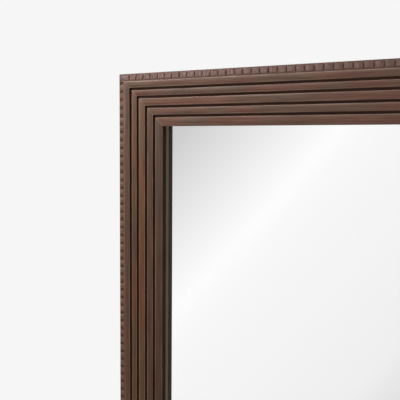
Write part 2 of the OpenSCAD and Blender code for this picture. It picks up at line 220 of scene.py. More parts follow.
def round_edges(
    bm: BMesh, edges: Sequence[bmesh.types.BMEdge], width: float, segments: int
) -> None:
    """Rounds edges to a width in metres, with a number of faces across each."""
    bmesh.ops.bevel(
        bm, geom=edges, offset=width, segments=segments, profile=0.5, affect="EDGES",
        clamp_overlap=True,
    )


def eased(node: str, ease: float, segments: int) -> BMesh:
    """Copies a CAD node's mesh, merges the copy and rounds its sharp edges.

    Args:
        node: The CAD node that is copied.
        ease: Width of the rounded edges in metres, or 0 for none.
        segments: Faces across a rounded edge.

    Returns:
        The copy.
    """
    bm = bmesh.new()
    bm.from_mesh(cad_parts[node].data)
    bmesh.ops.remove_doubles(bm, verts=bm.verts, dist=MERGE)
    bmesh.ops.dissolve_limit(
        bm, angle_limit=math.radians(FLAT), verts=bm.verts, edges=bm.edges
    )
    if ease:
        corners = [e for e in bm.edges if len(e.link_faces) == 2]
        sharp = [e for e in corners if e.calc_face_angle() > math.radians(SHARP)]
        round_edges(bm, sharp, ease, segments)
    return bm


def skin(bm: BMesh, rings: Sequence[Sequence[bmesh.types.BMVert]]) -> None:
    """Joins each ring of vertices to the next. A ring of one vertex closes an end."""
    for low, high in zip(rings, rings[1:]):
        steps = max(len(low), len(high))
        for i in range(steps):
            j = (i + 1) % steps
            corners = (low[i % len(low)], low[j % len(low)])
            corners += (high[j % len(high)], high[i % len(high)])
            bm.faces.new(list(dict.fromkeys(corners)))


def lathe(bm: BMesh, outline: Sequence[Point], steps: int) -> None:
    """Turns an outline of (radius, y) points about the Y axis.

    Args:
        bm: The mesh that the turned faces go into.
        outline: Points from one end to the other. A radius of 0 closes an end.
        steps: Faces around.
    """
    turns = [2 * math.pi * i / steps for i in range(steps)]
    skin(bm, [
        [
            bm.verts.new((radius * math.cos(turn), y, radius * math.sin(turn)))
            for turn in (turns if radius else turns[:1])
        ]
        for radius, y in outline
    ])


def arc(centre: Point, radius: float, start: float, end: float, steps: int) -> list[Point]:
    """Points of an arc from one angle to another, in degrees."""
    turns = [math.radians(start + (end - start) * i / steps) for i in range(steps + 1)]
    return [(centre[0] + radius * math.cos(a), centre[1] + radius * math.sin(a)) for a in turns]


# Sizes that the sub-assemblies share


@dataclass(frozen=True)
class Sizes:
    """The part's shared sizes, in metres, as its CAD source has them."""

    width: float = 430 * MM
    height: float = 1290 * MM
    depth: float = 20 * MM
    strip_w: float = 6.5 * MM
    bands: tuple[float, ...] = (5.6 * MM, 5 * MM, 6.1 * MM, 5.7 * MM, 7.1 * MM)
    groove_w: float = 2 * MM
    groove_depth: float = 3 * MM
    crown_rise: float = 0.3 * MM
    band_ease: float = 0.4 * MM
    rabbet_w: float = 6.6 * MM
    lip_depth: float = 6.5 * MM
    strip_inner: float = 19 * MM
    strip_slope: float = 0.7 * MM
    bevel_w: float = 1.3 * MM
    bevel_depth: float = 2 * MM
    gap_depth: float = 1 * MM
    rim_w: float = 1.3 * MM
    seat: float = 11.8 * MM
    seam: float = 0.15 * MM
    rail_end_tooth: float = 10.7 * MM
    stile_end_tooth: float = 7.2 * MM
    tooth_gap: float = 2.4 * MM
    tooth_pitch: float = 6.8 * MM
    glass_play: float = 1.5 * MM
    rear_y: float = -18.65 * MM
    hook_x: float = 130 * MM
    guide_z: float = 1277.1 * MM
    thumb_z: float = 1262.1 * MM
    bumper_inset: float = 75 * MM
    ring_z: float = 1060 * MM

    def band_u(self, n: int) -> float:
        """Distance of a band's outer edge from the frame's outer edge."""
        return self.strip_w + sum(self.bands[:n]) + n * self.groove_w

    @property
    def fall(self) -> float:
        """How steeply the toothed strip's face falls outwards."""
        return self.strip_slope / (self.strip_w - self.bevel_w)

    def strip_face(self, u: float) -> float:
        """Height of the toothed strip's sloping face, or of its bevel, at a distance
        from the frame's outer edge."""
        shoulder = self.strip_inner - self.strip_slope
        if u < self.bevel_w:
            return shoulder - self.bevel_depth * (1 - u / self.bevel_w)
        return shoulder + self.fall * (u - self.bevel_w)

    def gap_floor(self, u: float) -> float:
        """Height of the floor of the strip's gaps, which runs parallel to its face."""
        return self.strip_inner - self.gap_depth - self.fall * (self.strip_w - u)

    @property
    def gap_start(self) -> float:
        """Where the floor of the gaps comes out of the bevel."""
        steep = self.bevel_depth / self.bevel_w
        return (self.gap_floor(0) - self.strip_face(0)) / (steep - self.fall)

    @property
    def gap_end(self) -> float:
        """Where the gaps end at the plain rim."""
        return self.strip_w - self.rim_w

    @property
    def face_w(self) -> float:
        """Width of the whole face of the moulding."""
        return self.band_u(len(self.bands) - 1) + self.bands[-1]

    @property
    def solid_w(self) -> float:
        """Width of the moulding behind the glass."""
        return self.face_w - self.rabbet_w

    @property
    def lip_under(self) -> float:
        """Height of the lip's underside."""
        return self.depth - self.lip_depth

    @property
    def stile_x(self) -> float:
        """Distance of a stile's middle, behind the glass, from the middle of the mirror."""
        return self.width / 2 - self.solid_w / 2


SIZES = Sizes()


class Side(Enum):
    """The four sides of the frame: name, turn about Y in degrees, and length."""

    TOP = ("top", 0, SIZES.width)
    BOTTOM = ("bottom", 180, SIZES.width)
    LEFT = ("left", -90, SIZES.height)
    RIGHT = ("right", 90, SIZES.height)

    @property
    def length(self) -> float:
        """Length of the side over its outer edges."""
        return self.value[2]

    @property
    def member(self) -> str:
        """Name of the frame member on this side."""
        return f"{self.value[0]}_{'rail' if self.rail else 'stile'}"

    @property
    def strip(self) -> str:
        """Name of the toothed strip on this side."""
        return f"{self.value[0]}_dentil_strip"

    @property
    def rail(self) -> bool:
        """Whether this side is a rail, not a stile."""
        return self in (Side.TOP, Side.BOTTOM)

    @property
    def end_tooth(self) -> float:
        """Length of the first tooth at each corner of this side."""
        return SIZES.rail_end_tooth if self.rail else SIZES.stile_end_tooth

    def set_up(self, bar: Piece, degrees: float) -> None:
        """Moves a bar to this side, turns its faces outwards and shades it.

        Args:
            bar: A bar whose outer edge lies along X at Z = 0.
            degrees: Edges sharper than this stay sharp.
        """
        centre = {
            Side.TOP: (0, 0, SIZES.height),
            Side.BOTTOM: (0, 0, 0),
            Side.LEFT: (-SIZES.width / 2, 0, SIZES.height / 2),
            Side.RIGHT: (SIZES.width / 2, 0, SIZES.height / 2),
        }[self]
        turn = Matrix.Rotation(math.radians(self.value[1]), 4, "Y")
        bar.data.transform(Matrix.Translation(centre) @ turn)
        bm = bmesh.new()
        bm.from_mesh(bar.data)
        bmesh.ops.recalc_face_normals(bm, faces=bm.faces)
        bm.to_mesh(bar.data)
        bm.free()
        shade(bar, degrees)


# Finishes


@dataclass(frozen=True)
class Finish:
    """A finish: its name, and how it becomes a material."""

    name: str

    def material(self) -> bpy.types.Material:
        """Builds the material: the finish's textures, one shader and the output."""
        material = bpy.data.materials.new(self.name)
        material.use_nodes = True
        tree = material.node_tree
        tree.nodes.clear()
        sockets = self.sockets(partial(add, tree))
        inside = sockets.pop("Volume", None)
        shader = add(tree, "ShaderNodeBsdfPrincipled", sockets)
        add(tree, "ShaderNodeOutputMaterial", {"Surface": shader, "Volume": inside})
        return material

    def sockets(self, node: Adder) -> dict[str, object]:
        """Adds the finish's textures.

        Args:
            node: Adds a node to the material's tree.

        Returns:
            Values or textures of the shader, and of the output's Volume, by input name.
        """
        raise NotImplementedError


@dataclass(frozen=True)
class StainedTimber(Finish):
    """Walnut-stained hardwood, planed to a moulding and sprayed with satin lacquer.

    The eye gets long streaks along each member, warmer and greyer stretches from band
    to band, dark glaze and painted shade in the grooves, on the sight edge and in the
    teeth's gaps, lighter rubbed arrises, painted highlights on the teeth's ends, and
    bare wood in the rebate and on the back. It reads the members' own attributes: grain
    is (along, across, height) in metres.
    """

    light: str = "#7d5d4e"
    middle: str = "#6d4f42"
    dark: str = "#593e31"
    warm: str = "#ffede7"
    cool: str = "#e7f6ed"
    amber: str = "#ffecb8"
    glaze: str = "#4c3224"
    rubbed: str = "#a98b7c"
    bare_light: str = "#c3a681"
    bare_dark: str = "#a1835f"
    # Length and width of the streaks and of the fibres. Walnut's vessels are 0.1 mm
    # wide: drawn three times as wide, so that they show.
    streak: Point = (38 * MM, 1.4 * MM)
    fibre: Point = (5 * MM, 0.32 * MM)
    patch_length: float = 40 * MM
    band_apart: float = 3.7
    patch_warmth: Range = (0.35, 0.65, 0.0, 1.0)
    pore_ink: Range = (0.6, 0.74, 0.0, 0.45)
    rub_share: Range = (0.3, 0.7, 0.15, 0.55)
    joint_share: Range = (0.4 * MM, 1.0 * MM, 0.6, 0.0)
    polish: Range = (0.3, 0.7, 0.58, 0.45)
    gloss: float = 0.45
    bare_roughness: float = 0.85
    bare_gloss: float = 0.05
    # Bare wood starts this near to the back, and this far outside the rebate's faces
    bare_h: float = 0.9 * MM
    bare_margin: float = 0.05 * MM
    # The glow of the lip's underside: how deep it goes, and how far it stops short of
    # the lip's edge, which is slightly broken
    under: str = "#d8d6bd"
    under_glow: float = 0.1
    glow_depth: float = 0.2 * MM
    glow_stop: float = 0.55 * MM

    def sockets(self, node: Adder) -> dict[str, object]:
        """Adds the timber's textures."""
        read = {
            name: node("ShaderNodeAttribute", out="Fac", attribute_name=name)
            for name in ("band", "tone", "amber", "wear", "hollow", "mitre")
        }
        grain = node("ShaderNodeAttribute", out="Vector", attribute_name="grain")
        along, across, height = node(SEPARATE, (grain,)).node.outputs
        textures = []
        for (length, width), look in (
            (self.streak, {"Detail": 3.0, "Roughness": 0.62, "Distortion": 0.25}),
            (self.fibre, {"Detail": 2.0, "Roughness": 0.5}),
        ):
            place = node(VECTOR_TIMES, (grain, (1 / length, 1 / width, 1 / width)))
            textures.append(node(NOISE, {"Vector": place, "Scale": 1.0, **look}))
        streak, fibre = textures
        patch_along = node(TIMES, (along, 1 / self.patch_length))
        patch_band = node(TIMES, (read["band"], self.band_apart))
        place = node(COMBINE, (patch_along, patch_band))
        patch = node(NOISE, {"Vector": place, "Scale": 1.0, "Detail": 1.0})
        warmth = node(RANGE, (patch, *self.patch_warmth), interpolation_type="SMOOTHSTEP")
        shades = ((0.3, self.dark), (0.5, self.middle), (0.7, self.light))
        colour = set_stops(node(RAMP, (streak,)), *((at, linear(code)) for at, code in shades))
        tint = node(MIX, {0: warmth, 6: linear(self.cool), 7: linear(self.warm)}, **COLOUR)
        gold = node(MIX, {0: read["amber"], 6: grey(1.0), 7: linear(self.amber)}, **COLOUR)
        for stain in (tint, gold):
            colour = node(MIX, {0: 1.0, 6: colour, 7: stain}, blend_type="MULTIPLY", **COLOUR)
        colour = node(VECTOR_SCALED, {0: colour, "Scale": read["tone"]})
        pores = node(RANGE, (fibre, *self.pore_ink))
        # Lighter rubbed arrises, and painted highlights at the teeth's upper or right-hand ends
        rub = node(RANGE, (streak, *self.rub_share))
        rub = node(TIMES, (rub, read["wear"]))
        joint = node(RANGE, (read["mitre"], *self.joint_share))
        # Then dark pores, the rub with its painted highlights, rubbed mitre joints, and glaze with
        # painted shade in the grooves, on the sight edge and in the teeth's gaps
        for share, code in (
            (pores, self.dark), (rub, self.rubbed), (joint, self.rubbed),
            (read["hollow"], self.glaze),
        ):
            colour = node(MIX, {0: share, 6: colour, 7: linear(code)}, **COLOUR)
        codes = {6: linear(self.bare_dark), 7: linear(self.bare_light)}
        bare = node(MIX, {0: streak, **codes}, **COLOUR)
        back = node(BELOW, (height, self.bare_h))
        under = node(BELOW, (height, SIZES.lip_under + self.bare_margin))
        inside = node(ABOVE, (across, SIZES.solid_w - self.bare_margin))
        rebate = node(TIMES, (under, inside))
        unfinished = node(HIGHER, (back, rebate))
        colour = node(MIX, {0: unfinished, 6: colour, 7: bare}, **COLOUR)
        polish = node(RANGE, (streak, *self.polish))
        dull = node(HIGHER, (unfinished, read["hollow"]))
        # The light that the lip's underside gets through the pane, which no path finds
        glow = node(ABOVE, (height, SIZES.lip_under - self.glow_depth))
        short = node(BELOW, (across, SIZES.face_w - self.glow_stop))
        for share in (rebate, short, self.under_glow):
            glow = node(TIMES, (glow, share))
        relief = node(PLUS, (fibre, streak))
        return {
            "Base Color": colour,
            "Roughness": node(
                MIX, {0: dull, 2: polish, 3: self.bare_roughness}, data_type="FLOAT"
            ),
            "Specular IOR Level": node(
                MIX, {0: dull, 2: self.gloss, 3: self.bare_gloss}, data_type="FLOAT"
            ),
            "Emission Color": linear(self.under),
            "Emission Strength": glow,
            "Normal": node(BUMP, {"Strength": 0.35, "Distance": 0.12 * MM, "Height": relief}),
        }


@dataclass(frozen=True)
class FloatGlass(Finish):
    """Clear soda-lime float glass, 4 mm, cut and seamed: faintly green in its depth,
    with faint smears that only change its gloss."""

    tint: str = "#ffffff"
    depth_tint: str = "#e9f3ea"
    # The pane's front mirrors the darker half of the room.
    front: str = "#5c5c5c"
    # A 4 mm pane takes half a percent of red and blue light and hardly any green.
    absorption: float = 2.0
    smears: Range = (0.45, 0.8, 0.0, 0.012)

    def sockets(self, node: Adder) -> dict[str, object]:
        """Adds the glass's textures."""
        place = node(COORDS, out="Object")
        smear = node(NOISE, {"Vector": place, "Scale": 7.0, "Detail": 4.0, "Distortion": 1.2})
        depth = {"Color": linear(self.depth_tint), "Density": self.absorption}
        return {
            "Base Color": linear(self.tint),
            "Transmission Weight": 1.0,
            "IOR": 1.52,
            "Specular Tint": linear(self.front),
            "Roughness": node(RANGE, (smear, *self.smears)),
            "Volume": node("ShaderNodeVolumeAbsorption", depth),
        }


@dataclass(frozen=True)
class MirrorSilver(Finish):
    """Silver laid chemically on the back of the glass: a bright, even mirror, a little
    duller in the last millimetres at its edges."""

    bright: str = "#f8f8f8"
    dull: str = "#b9b7b2"
    reach: Range = (0.3, 0.7, 1 * MM, 4 * MM)

    def sockets(self, node: Adder) -> dict[str, object]:
        """Adds the silver's textures."""
        place = node(COORDS, out="Object")
        x, _, z = node(SEPARATE, (place,)).node.outputs
        z = node(MINUS, (z, SIZES.height / 2))
        hidden = SIZES.solid_w + SIZES.glass_play
        edges = []
        for axis, half in ((x, SIZES.width / 2), (z, SIZES.height / 2)):
            away = node(SIZE_OF, (axis,))
            edges.append(node(MINUS, (half - hidden, away)))
        edge = node(LOWER, edges)
        ragged = node(NOISE, {"Vector": place, "Scale": 160.0, "Detail": 3.0})
        reach = node(RANGE, (ragged, *self.reach))
        tarnish = node(BELOW, (edge, reach))
        codes = {6: linear(self.bright), 7: linear(self.dull)}
        colour = node(MIX, {0: tarnish, **codes}, **COLOUR)
        return {"Base Color": colour, "Metallic": 1.0, "Roughness": 0.0}


@dataclass(frozen=True)
class Hardboard(Finish):
    """Wet-pressed hardboard, rough side out: brown fibres, with the print of the wire
    mesh that it was pressed on."""

    light: str = "#96734e"
    dark: str = "#6d5034"
    fleck: str = "#3f2d1d"
    mesh_pitch: float = 1.6 * MM
    fibre_size: float = 0.9 * MM
    flecks: Range = (0.68, 0.76, 0.0, 0.6)
    roughness: Range = (0.3, 0.7, 0.78, 0.95)

    def sockets(self, node: Adder) -> dict[str, object]:
        """Adds the board's textures."""
        place = node(COORDS, out="Object")
        cloud = node(NOISE, {"Vector": place, "Scale": 14.0, "Detail": 5.0, "Roughness": 0.6})
        look = {"Scale": 1 / self.fibre_size, "Detail": 4.0, "Roughness": 0.7, "Distortion": 2.0}
        fibre = node(NOISE, {"Vector": place, **look})
        both = node(MIX, {0: 0.55, 2: cloud, 3: fibre}, data_type="FLOAT")
        ramp = node(RAMP, (both,))
        colour = set_stops(ramp, (0.36, linear(self.dark)), (0.62, linear(self.light)))
        flecks = node(RANGE, (fibre, *self.flecks))
        colour = node(MIX, {0: flecks, 6: colour, 7: linear(self.fleck)}, **COLOUR)
        look = {"Scale": math.pi / 10 / self.mesh_pitch, "Distortion": 0.4}
        prints = [
            node("ShaderNodeTexWave", {"Vector": place, **look}, out="Fac", bands_direction=axis)
            for axis in ("X", "Z")
        ]
        weave = node(TIMES, prints)
        relief = node(MIX, {0: 0.4, 2: weave, 3: fibre}, data_type="FLOAT")
        return {
            "Base Color": colour,
            "Roughness": node(RANGE, (fibre, *self.roughness)),
            "Specular IOR Level": 0.25,
            "Normal": node(BUMP, {"Strength": 0.6, "Distance": 0.25 * MM, "Height": relief}),
        }


@dataclass(frozen=True)
class Metal(Finish):
    """A plated or solid metal part: an even metal with faint clouds and fine scratches."""

    light: str = "#c9ccd0"
    dark: str = "#a9adb2"
    roughness: float = 0.3
    cloud_size: float = 7 * MM
    # Tumbling scratches are finer than 0.1 mm: drawn at 0.3 mm, so that they show.
    scratch_size: float = 0.3 * MM
    scratch_stretch: tuple[float, float, float] = (1.0, 0.15, 0.3)

    def sockets(self, node: Adder) -> dict[str, object]:
        """Adds the metal's textures."""
        place = node(COORDS, out="Object")
        cloud = node(NOISE, {"Vector": place, "Scale": 1 / self.cloud_size, "Detail": 3.0})
        codes = {6: linear(self.dark), 7: linear(self.light)}
        stretched = node(VECTOR_TIMES, (place, self.scratch_stretch))
        look = {"Scale": 1 / self.scratch_size, "Detail": 3.0}
        scratch = node(NOISE, {"Vector": stretched, **look})
        rough = (0.3, 0.7, self.roughness - 0.06, self.roughness + 0.1)
        return {
            "Base Color": node(MIX, {0: cloud, **codes}, **COLOUR),
            "Metallic": 1.0,
            "Roughness": node(RANGE, (scratch, *rough)),
            "Normal": node(BUMP, {"Strength": 0.15, "Distance": 0.03 * MM, "Height": scratch}),
        }


@dataclass(frozen=True)
class PowderCoat(Finish):
    """Black polyester powder coat baked on steel: satin, with a faint orange peel."""

    base: str = "#1d1d1f"
    dusty: str = "#2c2b2a"
    peel_size: float = 0.9 * MM
    roughness: Range = (0.3, 0.7, 0.38, 0.52)

    def sockets(self, node: Adder) -> dict[str, object]:
        """Adds the coat's textures."""
        place = node(COORDS, out="Object")
        cloud = node(NOISE, {"Vector": place, "Scale": 45.0, "Detail": 5.0, "Roughness": 0.65})
        ramp = node(RAMP, (cloud,))
        peel = node(NOISE, {"Vector": place, "Scale": 1 / self.peel_size, "Detail": 1.0})
        return {
            "Base Color": set_stops(ramp, (0.4, linear(self.base)), (0.75, linear(self.dusty))),
            "Roughness": node(RANGE, (cloud, *self.roughness)),
            "Normal": node(BUMP, {"Strength": 0.3, "Distance": 0.05 * MM, "Height": peel}),
        }


@dataclass(frozen=True)
class MouldedRubber(Finish):
    """Black vulcanised rubber from a mould: dull, with a grey bloom and fine texture."""

    base: str = "#212121"
    bloom: str = "#3a3a39"
    texture_size: float = 0.5 * MM

    def sockets(self, node: Adder) -> dict[str, object]:
        """Adds the rubber's textures."""
        place = node(COORDS, out="Object")
        cloud = node(NOISE, {"Vector": place, "Scale": 160.0, "Detail": 4.0, "Roughness": 0.7})
        ramp = node(RAMP, (cloud,))
        look = {"Vector": place, "Scale": 1 / self.texture_size}
        pits = node("ShaderNodeTexVoronoi", look, out="Distance")
        return {
            "Base Color": set_stops(ramp, (0.42, linear(self.base)), (0.7, linear(self.bloom))),
            "Roughness": 0.72,
            "Specular IOR Level": 0.35,
            "Normal": node(BUMP, {"Strength": 0.25, "Distance": 0.06 * MM, "Height": pits}),
        }


@dataclass(frozen=True)
class PressedFelt(Finish):
    """Grey wool felt, needled and pressed: matted fibres with a soft sheen."""

    light: str = "#6d7076"
    dark: str = "#43454a"
    fibre_size: float = 0.7 * MM

    def sockets(self, node: Adder) -> dict[str, object]:
        """Adds the felt's textures."""
        place = node(COORDS, out="Object")
        look = {"Detail": 5.0, "Roughness": 0.75, "Distortion": 3.0}
        fibre = node(NOISE, {"Vector": place, "Scale": 1 / self.fibre_size, **look})
        ramp = node(RAMP, (fibre,))
        return {
            "Base Color": set_stops(ramp, (0.38, linear(self.dark)), (0.62, linear(self.light))),
            "Roughness": 0.95,
            "Sheen Weight": 0.4,
            "Sheen Roughness": 0.5,
            "Specular IOR Level": 0.2,
            "Normal": node(BUMP, {"Strength": 0.7, "Distance": 0.2 * MM, "Height": fibre}),
        }


# The part's finishes, by the record's slot or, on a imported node, by a name of their own
FINISHES: dict[str, Finish] = {
    "timber": StainedTimber("timber_walnut_stained_satin_lacquer"),
    "tooth_timber": StainedTimber(
        "tooth_timber_walnut_stained_dry_brushed",
        light="#977269", middle="#83625a", dark="#68483f", warm="#fff6f2", cool="#f4f8f4",
        amber="#efecb8", streak=(9 * MM, 0.9 * MM), gloss=0.3,
    ),
    "glass": FloatGlass("clear_float_glass_seamed"),
    "silver": MirrorSilver("silver_wet_deposited"),
    "board": Hardboard("hardboard_wire_pressed"),
    "zinc_steel": Metal("steel_bright_zinc_plated"),
    "brass": Metal("brass_turned", light="#d0b06a", dark="#a98843", roughness=0.28),
    "black_steel": PowderCoat("steel_black_powder_coated"),
    "rubber": MouldedRubber("rubber_black_moulded"),
    "felt": PressedFelt("felt_grey_wool_pressed"),
}


# Growing by nodes


def geometry_tree(name: str, sockets: dict[str, str]) -> tuple[Tree, Adder, dict[str, Socket]]:
    """Starts a geometry tree with named inputs and one output.

    Args:
        name: The tree's name.
        sockets: Input names, and their socket types without the NodeSocket prefix.

    Returns:
        The tree, what adds a node to it, and what its inputs give, by name.
    """
    tree = bpy.data.node_groups.new(name, "GeometryNodeTree")
    for label, kind in sockets.items():
        tree.interface.new_socket(label, in_out="INPUT", socket_type="NodeSocket" + kind)
    tree.interface.new_socket("Geometry", in_out="OUTPUT", socket_type="NodeSocketGeometry")
    given = tree.nodes.new("NodeGroupInput").outputs
    return tree, partial(add, tree), {label: given[label] for label in sockets}


def hand_out(node: Adder, made: Socket, finish: Socket) -> None:
    """Ends a geometry tree: makes its result plain, and gives it its material.

    Args:
        node: Adds a node to the tree.
        made: What the tree has made.
        finish: The material's input.
    """
    made = node(REALIZE, (made,))
    made = node(SET_MATERIAL, {"Geometry": made, "Material": finish})
    node("NodeGroupOutput", (made,))


def grow(name: str, tree: Tree, values: dict[str, object]) -> Piece:
    """Runs a geometry tree on an empty mesh, and hands back the plain result.

    Args:
        name: Name of the new piece.
        tree: The geometry tree.
        values: The tree's inputs by name. Objects among them are used up.

    Returns:
        The piece, without modifiers.
    """
    piece = new_object(name, bpy.data.meshes.new(name))
    modifier = piece.modifiers.new("grow", "NODES")
    modifier.node_group = tree
    for item in tree.interface.items_tree:
        if item.item_type == "SOCKET" and item.in_out == "INPUT":
            modifier[item.identifier] = values[item.name]
    plain(piece)
    discard(*(value for value in values.values() if isinstance(value, Piece)))
    return piece


# Timber


@dataclass
class Outline:
    """A closed outline of a bar: points in across and height, with what the finish reads."""

    points: list[Point] = field(default_factory=list)
    wear: list[float] = field(default_factory=list)
    hollow: list[float] = field(default_factory=list)
    band: list[float] = field(default_factory=list)
    tone: list[float] = field(default_factory=list)
    amber: list[float] = field(default_factory=list)

    def put(self, *points: Point, **values: float) -> None:
        """Adds points that share their values, which are 0, or 1 for the tone, if not given."""
        self.points.extend(points)
        for label in self.labels():
            value = values.get(label, float(label == "tone"))
            getattr(self, label).extend([value] * len(points))

    @classmethod
    def labels(cls) -> list[str]:
        """Names of the values that each point has."""
        return [item.name for item in fields(cls) if item.name != "points"]

    def mesh_object(self, name: str) -> Piece:
        """Makes the outline a closed loop of edges with its values as attributes."""
        count = len(self.points)
        edges = [(i, (i + 1) % count) for i in range(count)]
        mesh = bpy.data.meshes.new(name)
        mesh.from_pydata([(u, w, 0) for u, w in self.points], edges, [])
        for label in self.labels():
            attribute = mesh.attributes.new(label, "FLOAT", "POINT")
            attribute.data.foreach_set("value", getattr(self, label))
        return new_object(name, mesh)


@dataclass
class MitredBar:
    """The tree that sweeps an outline along one side, and mitres its ends."""

    # The end rings sink a little, so that each mitre shows as a fine joint
    joint_w: float = 0.45 * MM
    joint_sink: float = 0.12 * MM
    joint_mark: float = 1.2 * MM
    grain_apart: float = 3.17

    def tree(self) -> Tree:
        """Builds the tree: Outline, Length, Seed and Material in, a dressed bar out."""
        tree, node, given = geometry_tree(
            "mitred_bar",
            {"Outline": "Object", "Length": "Float", "Seed": "Int", "Material": "Material"},
        )
        half = node(TIMES, (given["Length"], 0.5))
        loop = node(OBJECT, {"Object": given["Outline"]}, out="Geometry")
        place = node("GeometryNodeInputPosition")
        loop = node(STORE, {"Geometry": loop, "Name": "section", "Value": place}, **VECTORS)
        loop = node("GeometryNodeMeshToCurve", (loop,))
        # Four rings: the two mitres, and a ring just inside each
        line = node("GeometryNodeMeshLine", {"Count": 4, "Offset": (0.01, 0, 0)})
        from_middle = node(MINUS, (node("GeometryNodeInputIndex"), 1.5))
        side = node(SIGN_OF, (from_middle,))
        apart = node(SIZE_OF, (from_middle,))
        inner = node(MINUS, (1.5, apart))
        for label, value in (("side", side), ("inner", inner)):
            line = node(STORE, {"Geometry": line, "Name": label, "Value": value}, **FLOATS)
        path = node("GeometryNodeMeshToCurve", (line,))
        swept = {"Curve": path, "Profile Curve": loop, "Fill Caps": True}
        bar = node("GeometryNodeCurveToMesh", swept)
        section = node(NAMED, {"Name": "section"}, data_type="FLOAT_VECTOR")
        side = node(NAMED, {"Name": "side"}, data_type="FLOAT")
        inner = node(NAMED, {"Name": "inner"}, data_type="FLOAT")
        across, height, _ = node(SEPARATE, (section,)).node.outputs
        reach = node(MINUS, (half, across))
        inset = node(TIMES, (inner, self.joint_w))
        reach = node(MINUS, (reach, inset))
        along = node(TIMES, (reach, side))
        sink = node(MINUS, (inner, 1.0))
        sink = node(TIMES, (sink, self.joint_sink / SIZES.depth))
        sink = node(PLUS, (sink, 1.0))
        sunk = node(TIMES, (height, sink))
        y = node(MINUS, (SIZES.rear_y, sunk))
        z = node(TIMES, (across, -1.0))
        placed = node(COMBINE, (along, y, z))
        bar = node("GeometryNodeSetPosition", {"Geometry": bar, "Position": placed})
        apart = node(TIMES, (given["Seed"], self.grain_apart))
        shifted = node(PLUS, (along, apart))
        grain = node(COMBINE, (shifted, across, height))
        bar = node(STORE, {"Geometry": bar, "Name": "grain", "Value": grain}, **VECTORS)
        mitre = node(TIMES, (inner, self.joint_mark))
        bar = node(STORE, {"Geometry": bar, "Name": "mitre", "Value": mitre}, **FLOATS)
        hand_out(node, bar, given["Material"])
        return tree


@dataclass(frozen=True)
class MemberLook:
    """How the stain, painted shade and painted highlight lie on a rail or on a stile."""

    # Shade and amber share of the five bands, from the outside to the glass: each band's own tone,
    # with the stiles painted darker and more amber than the rails, as shade where less of the light
    # from above falls
    tones: tuple[float, ...]
    ambers: tuple[float, ...]
    # How much dark glaze and painted shade lies in the grooves, and how far the arris next to
    # the teeth is rubbed; on the rails it is lighter still, a painted highlight
    glaze: float
    arris: float


@dataclass
class FrameMoulding:
    """The four members of the frame: a crowned, grooved moulding, mitred at the corners."""

    bar: Tree
    first_seed: int = 1
    crown_steps: int = 8
    ease_steps: int = 4
    rear_chamfer: float = 1 * MM
    # The sight edge is crisper than the other arrises
    sight_ease: float = 0.15 * MM
    rail: MemberLook = MemberLook((1.12, 1.085, 1.185, 1.1, 1.085), (0.0,) * 5, 0.4, 1.7)
    stile: MemberLook = MemberLook(
        (0.8, 0.86, 1.0, 0.7, 0.62), (0.6, 0.85, 1.0, 0.55, 0.5), 1.0, 1.0
    )
    # How far the arrises are rubbed: at the teeth's seat, and on a band's two sides
    seat_wear: float = 0.3
    outer_wear: float = 1.0
    inner_wear: float = 0.8
    # Share of the glaze and painted shade at the top of a groove's wall, and painted shade on the
    # sight edge's rounding and down its wall
    wall_glaze: float = 0.35
    sight_glaze: float = 0.5
    lip_glaze: float = 0.2

    def outline(self, look: MemberLook) -> Outline:
        """Draws the moulding's outline, from the rear forward and inward."""
        s = SIZES
        edge, groove = s.depth - s.crown_rise, s.depth - s.groove_depth
        wall = self.wall_glaze * look.glaze
        last = len(s.bands) - 1
        made = Outline()
        made.put((self.rear_chamfer, 0), (0, self.rear_chamfer))
        made.put((0, s.seat - s.seam), (s.seam, s.seat), wear=self.seat_wear)
        made.put((s.strip_w, s.seat), hollow=1.0)
        for n, width in enumerate(s.bands):
            u = s.band_u(n)
            ease = self.sight_ease if n == last else s.band_ease
            style = {"band": float(n), "tone": look.tones[n], "amber": look.ambers[n]}
            first = (u + s.band_ease, edge - s.band_ease)
            outer = arc(first, s.band_ease, 180, 90, self.ease_steps)
            # The grooves take dark glaze and painted shade
            if n:
                made.put((u, groove), hollow=look.glaze, **style)
                made.put(outer[0], hollow=wall, **style)
            else:
                made.put(outer[0], wear=look.arris, **style)
            made.put(*outer[1:], wear=self.outer_wear if n else look.arris, **style)
            half = (width - s.band_ease - ease) / 2
            middle = u + s.band_ease + half
            shares = [2 * i / self.crown_steps - 1 for i in range(1, self.crown_steps)]
            crown = [(middle + half * t, s.depth - s.crown_rise * t * t) for t in shares]
            made.put(*crown, **style)
            inner = arc((u + width - ease, edge - ease), ease, 90, 0, self.ease_steps)
            if n != last:
                made.put(*inner[:-1], wear=self.inner_wear, **style)
                made.put(inner[-1], hollow=wall, **style)
                made.put((u + width, groove), hollow=look.glaze, **style)
        made.put(*inner[:2], wear=self.inner_wear, **style)
        # Painted shade on the sight edge's rounding and down its wall
        sight = {"hollow": self.sight_glaze, "band": float(last), "tone": look.tones[last]}
        made.put(*inner[2:], (s.face_w, s.lip_under), **sight)
        made.put((s.solid_w, s.lip_under), hollow=self.lip_glaze, band=float(last))
        made.put((s.solid_w, 0))
        return made

    def build(self, palette: Palette) -> None:
        """Sweeps, places and dresses the four members."""
        for seed, side in enumerate(Side, self.first_seed):
            loop = self.outline(self.rail if side.rail else self.stile)
            piece = grow(
                side.member + "_moulding", self.bar,
                {"Outline": loop.mesh_object("outline"), "Length": side.length, "Seed": seed,
                 "Material": palette["timber"]},
            )
            side.set_up(piece, 26)
            dress(piece, palette, "timber", "frame", side.member)


@dataclass(frozen=True)
class ToothLook:
    """How the stain, painted shade and painted highlights lie on a toothed strip."""

    # Shade and amber share of the teeth: darker on the rails, as painted shade that offsets the
    # light from above, and more amber on the stiles
    tone: float
    amber: float
    # Painted shadow in the gaps between them, and painted light that lifts the gaps' floor
    glaze: float
    floor_tone: float
    # Strength of the painted highlight at each tooth's upper or right-hand end
    rub: float


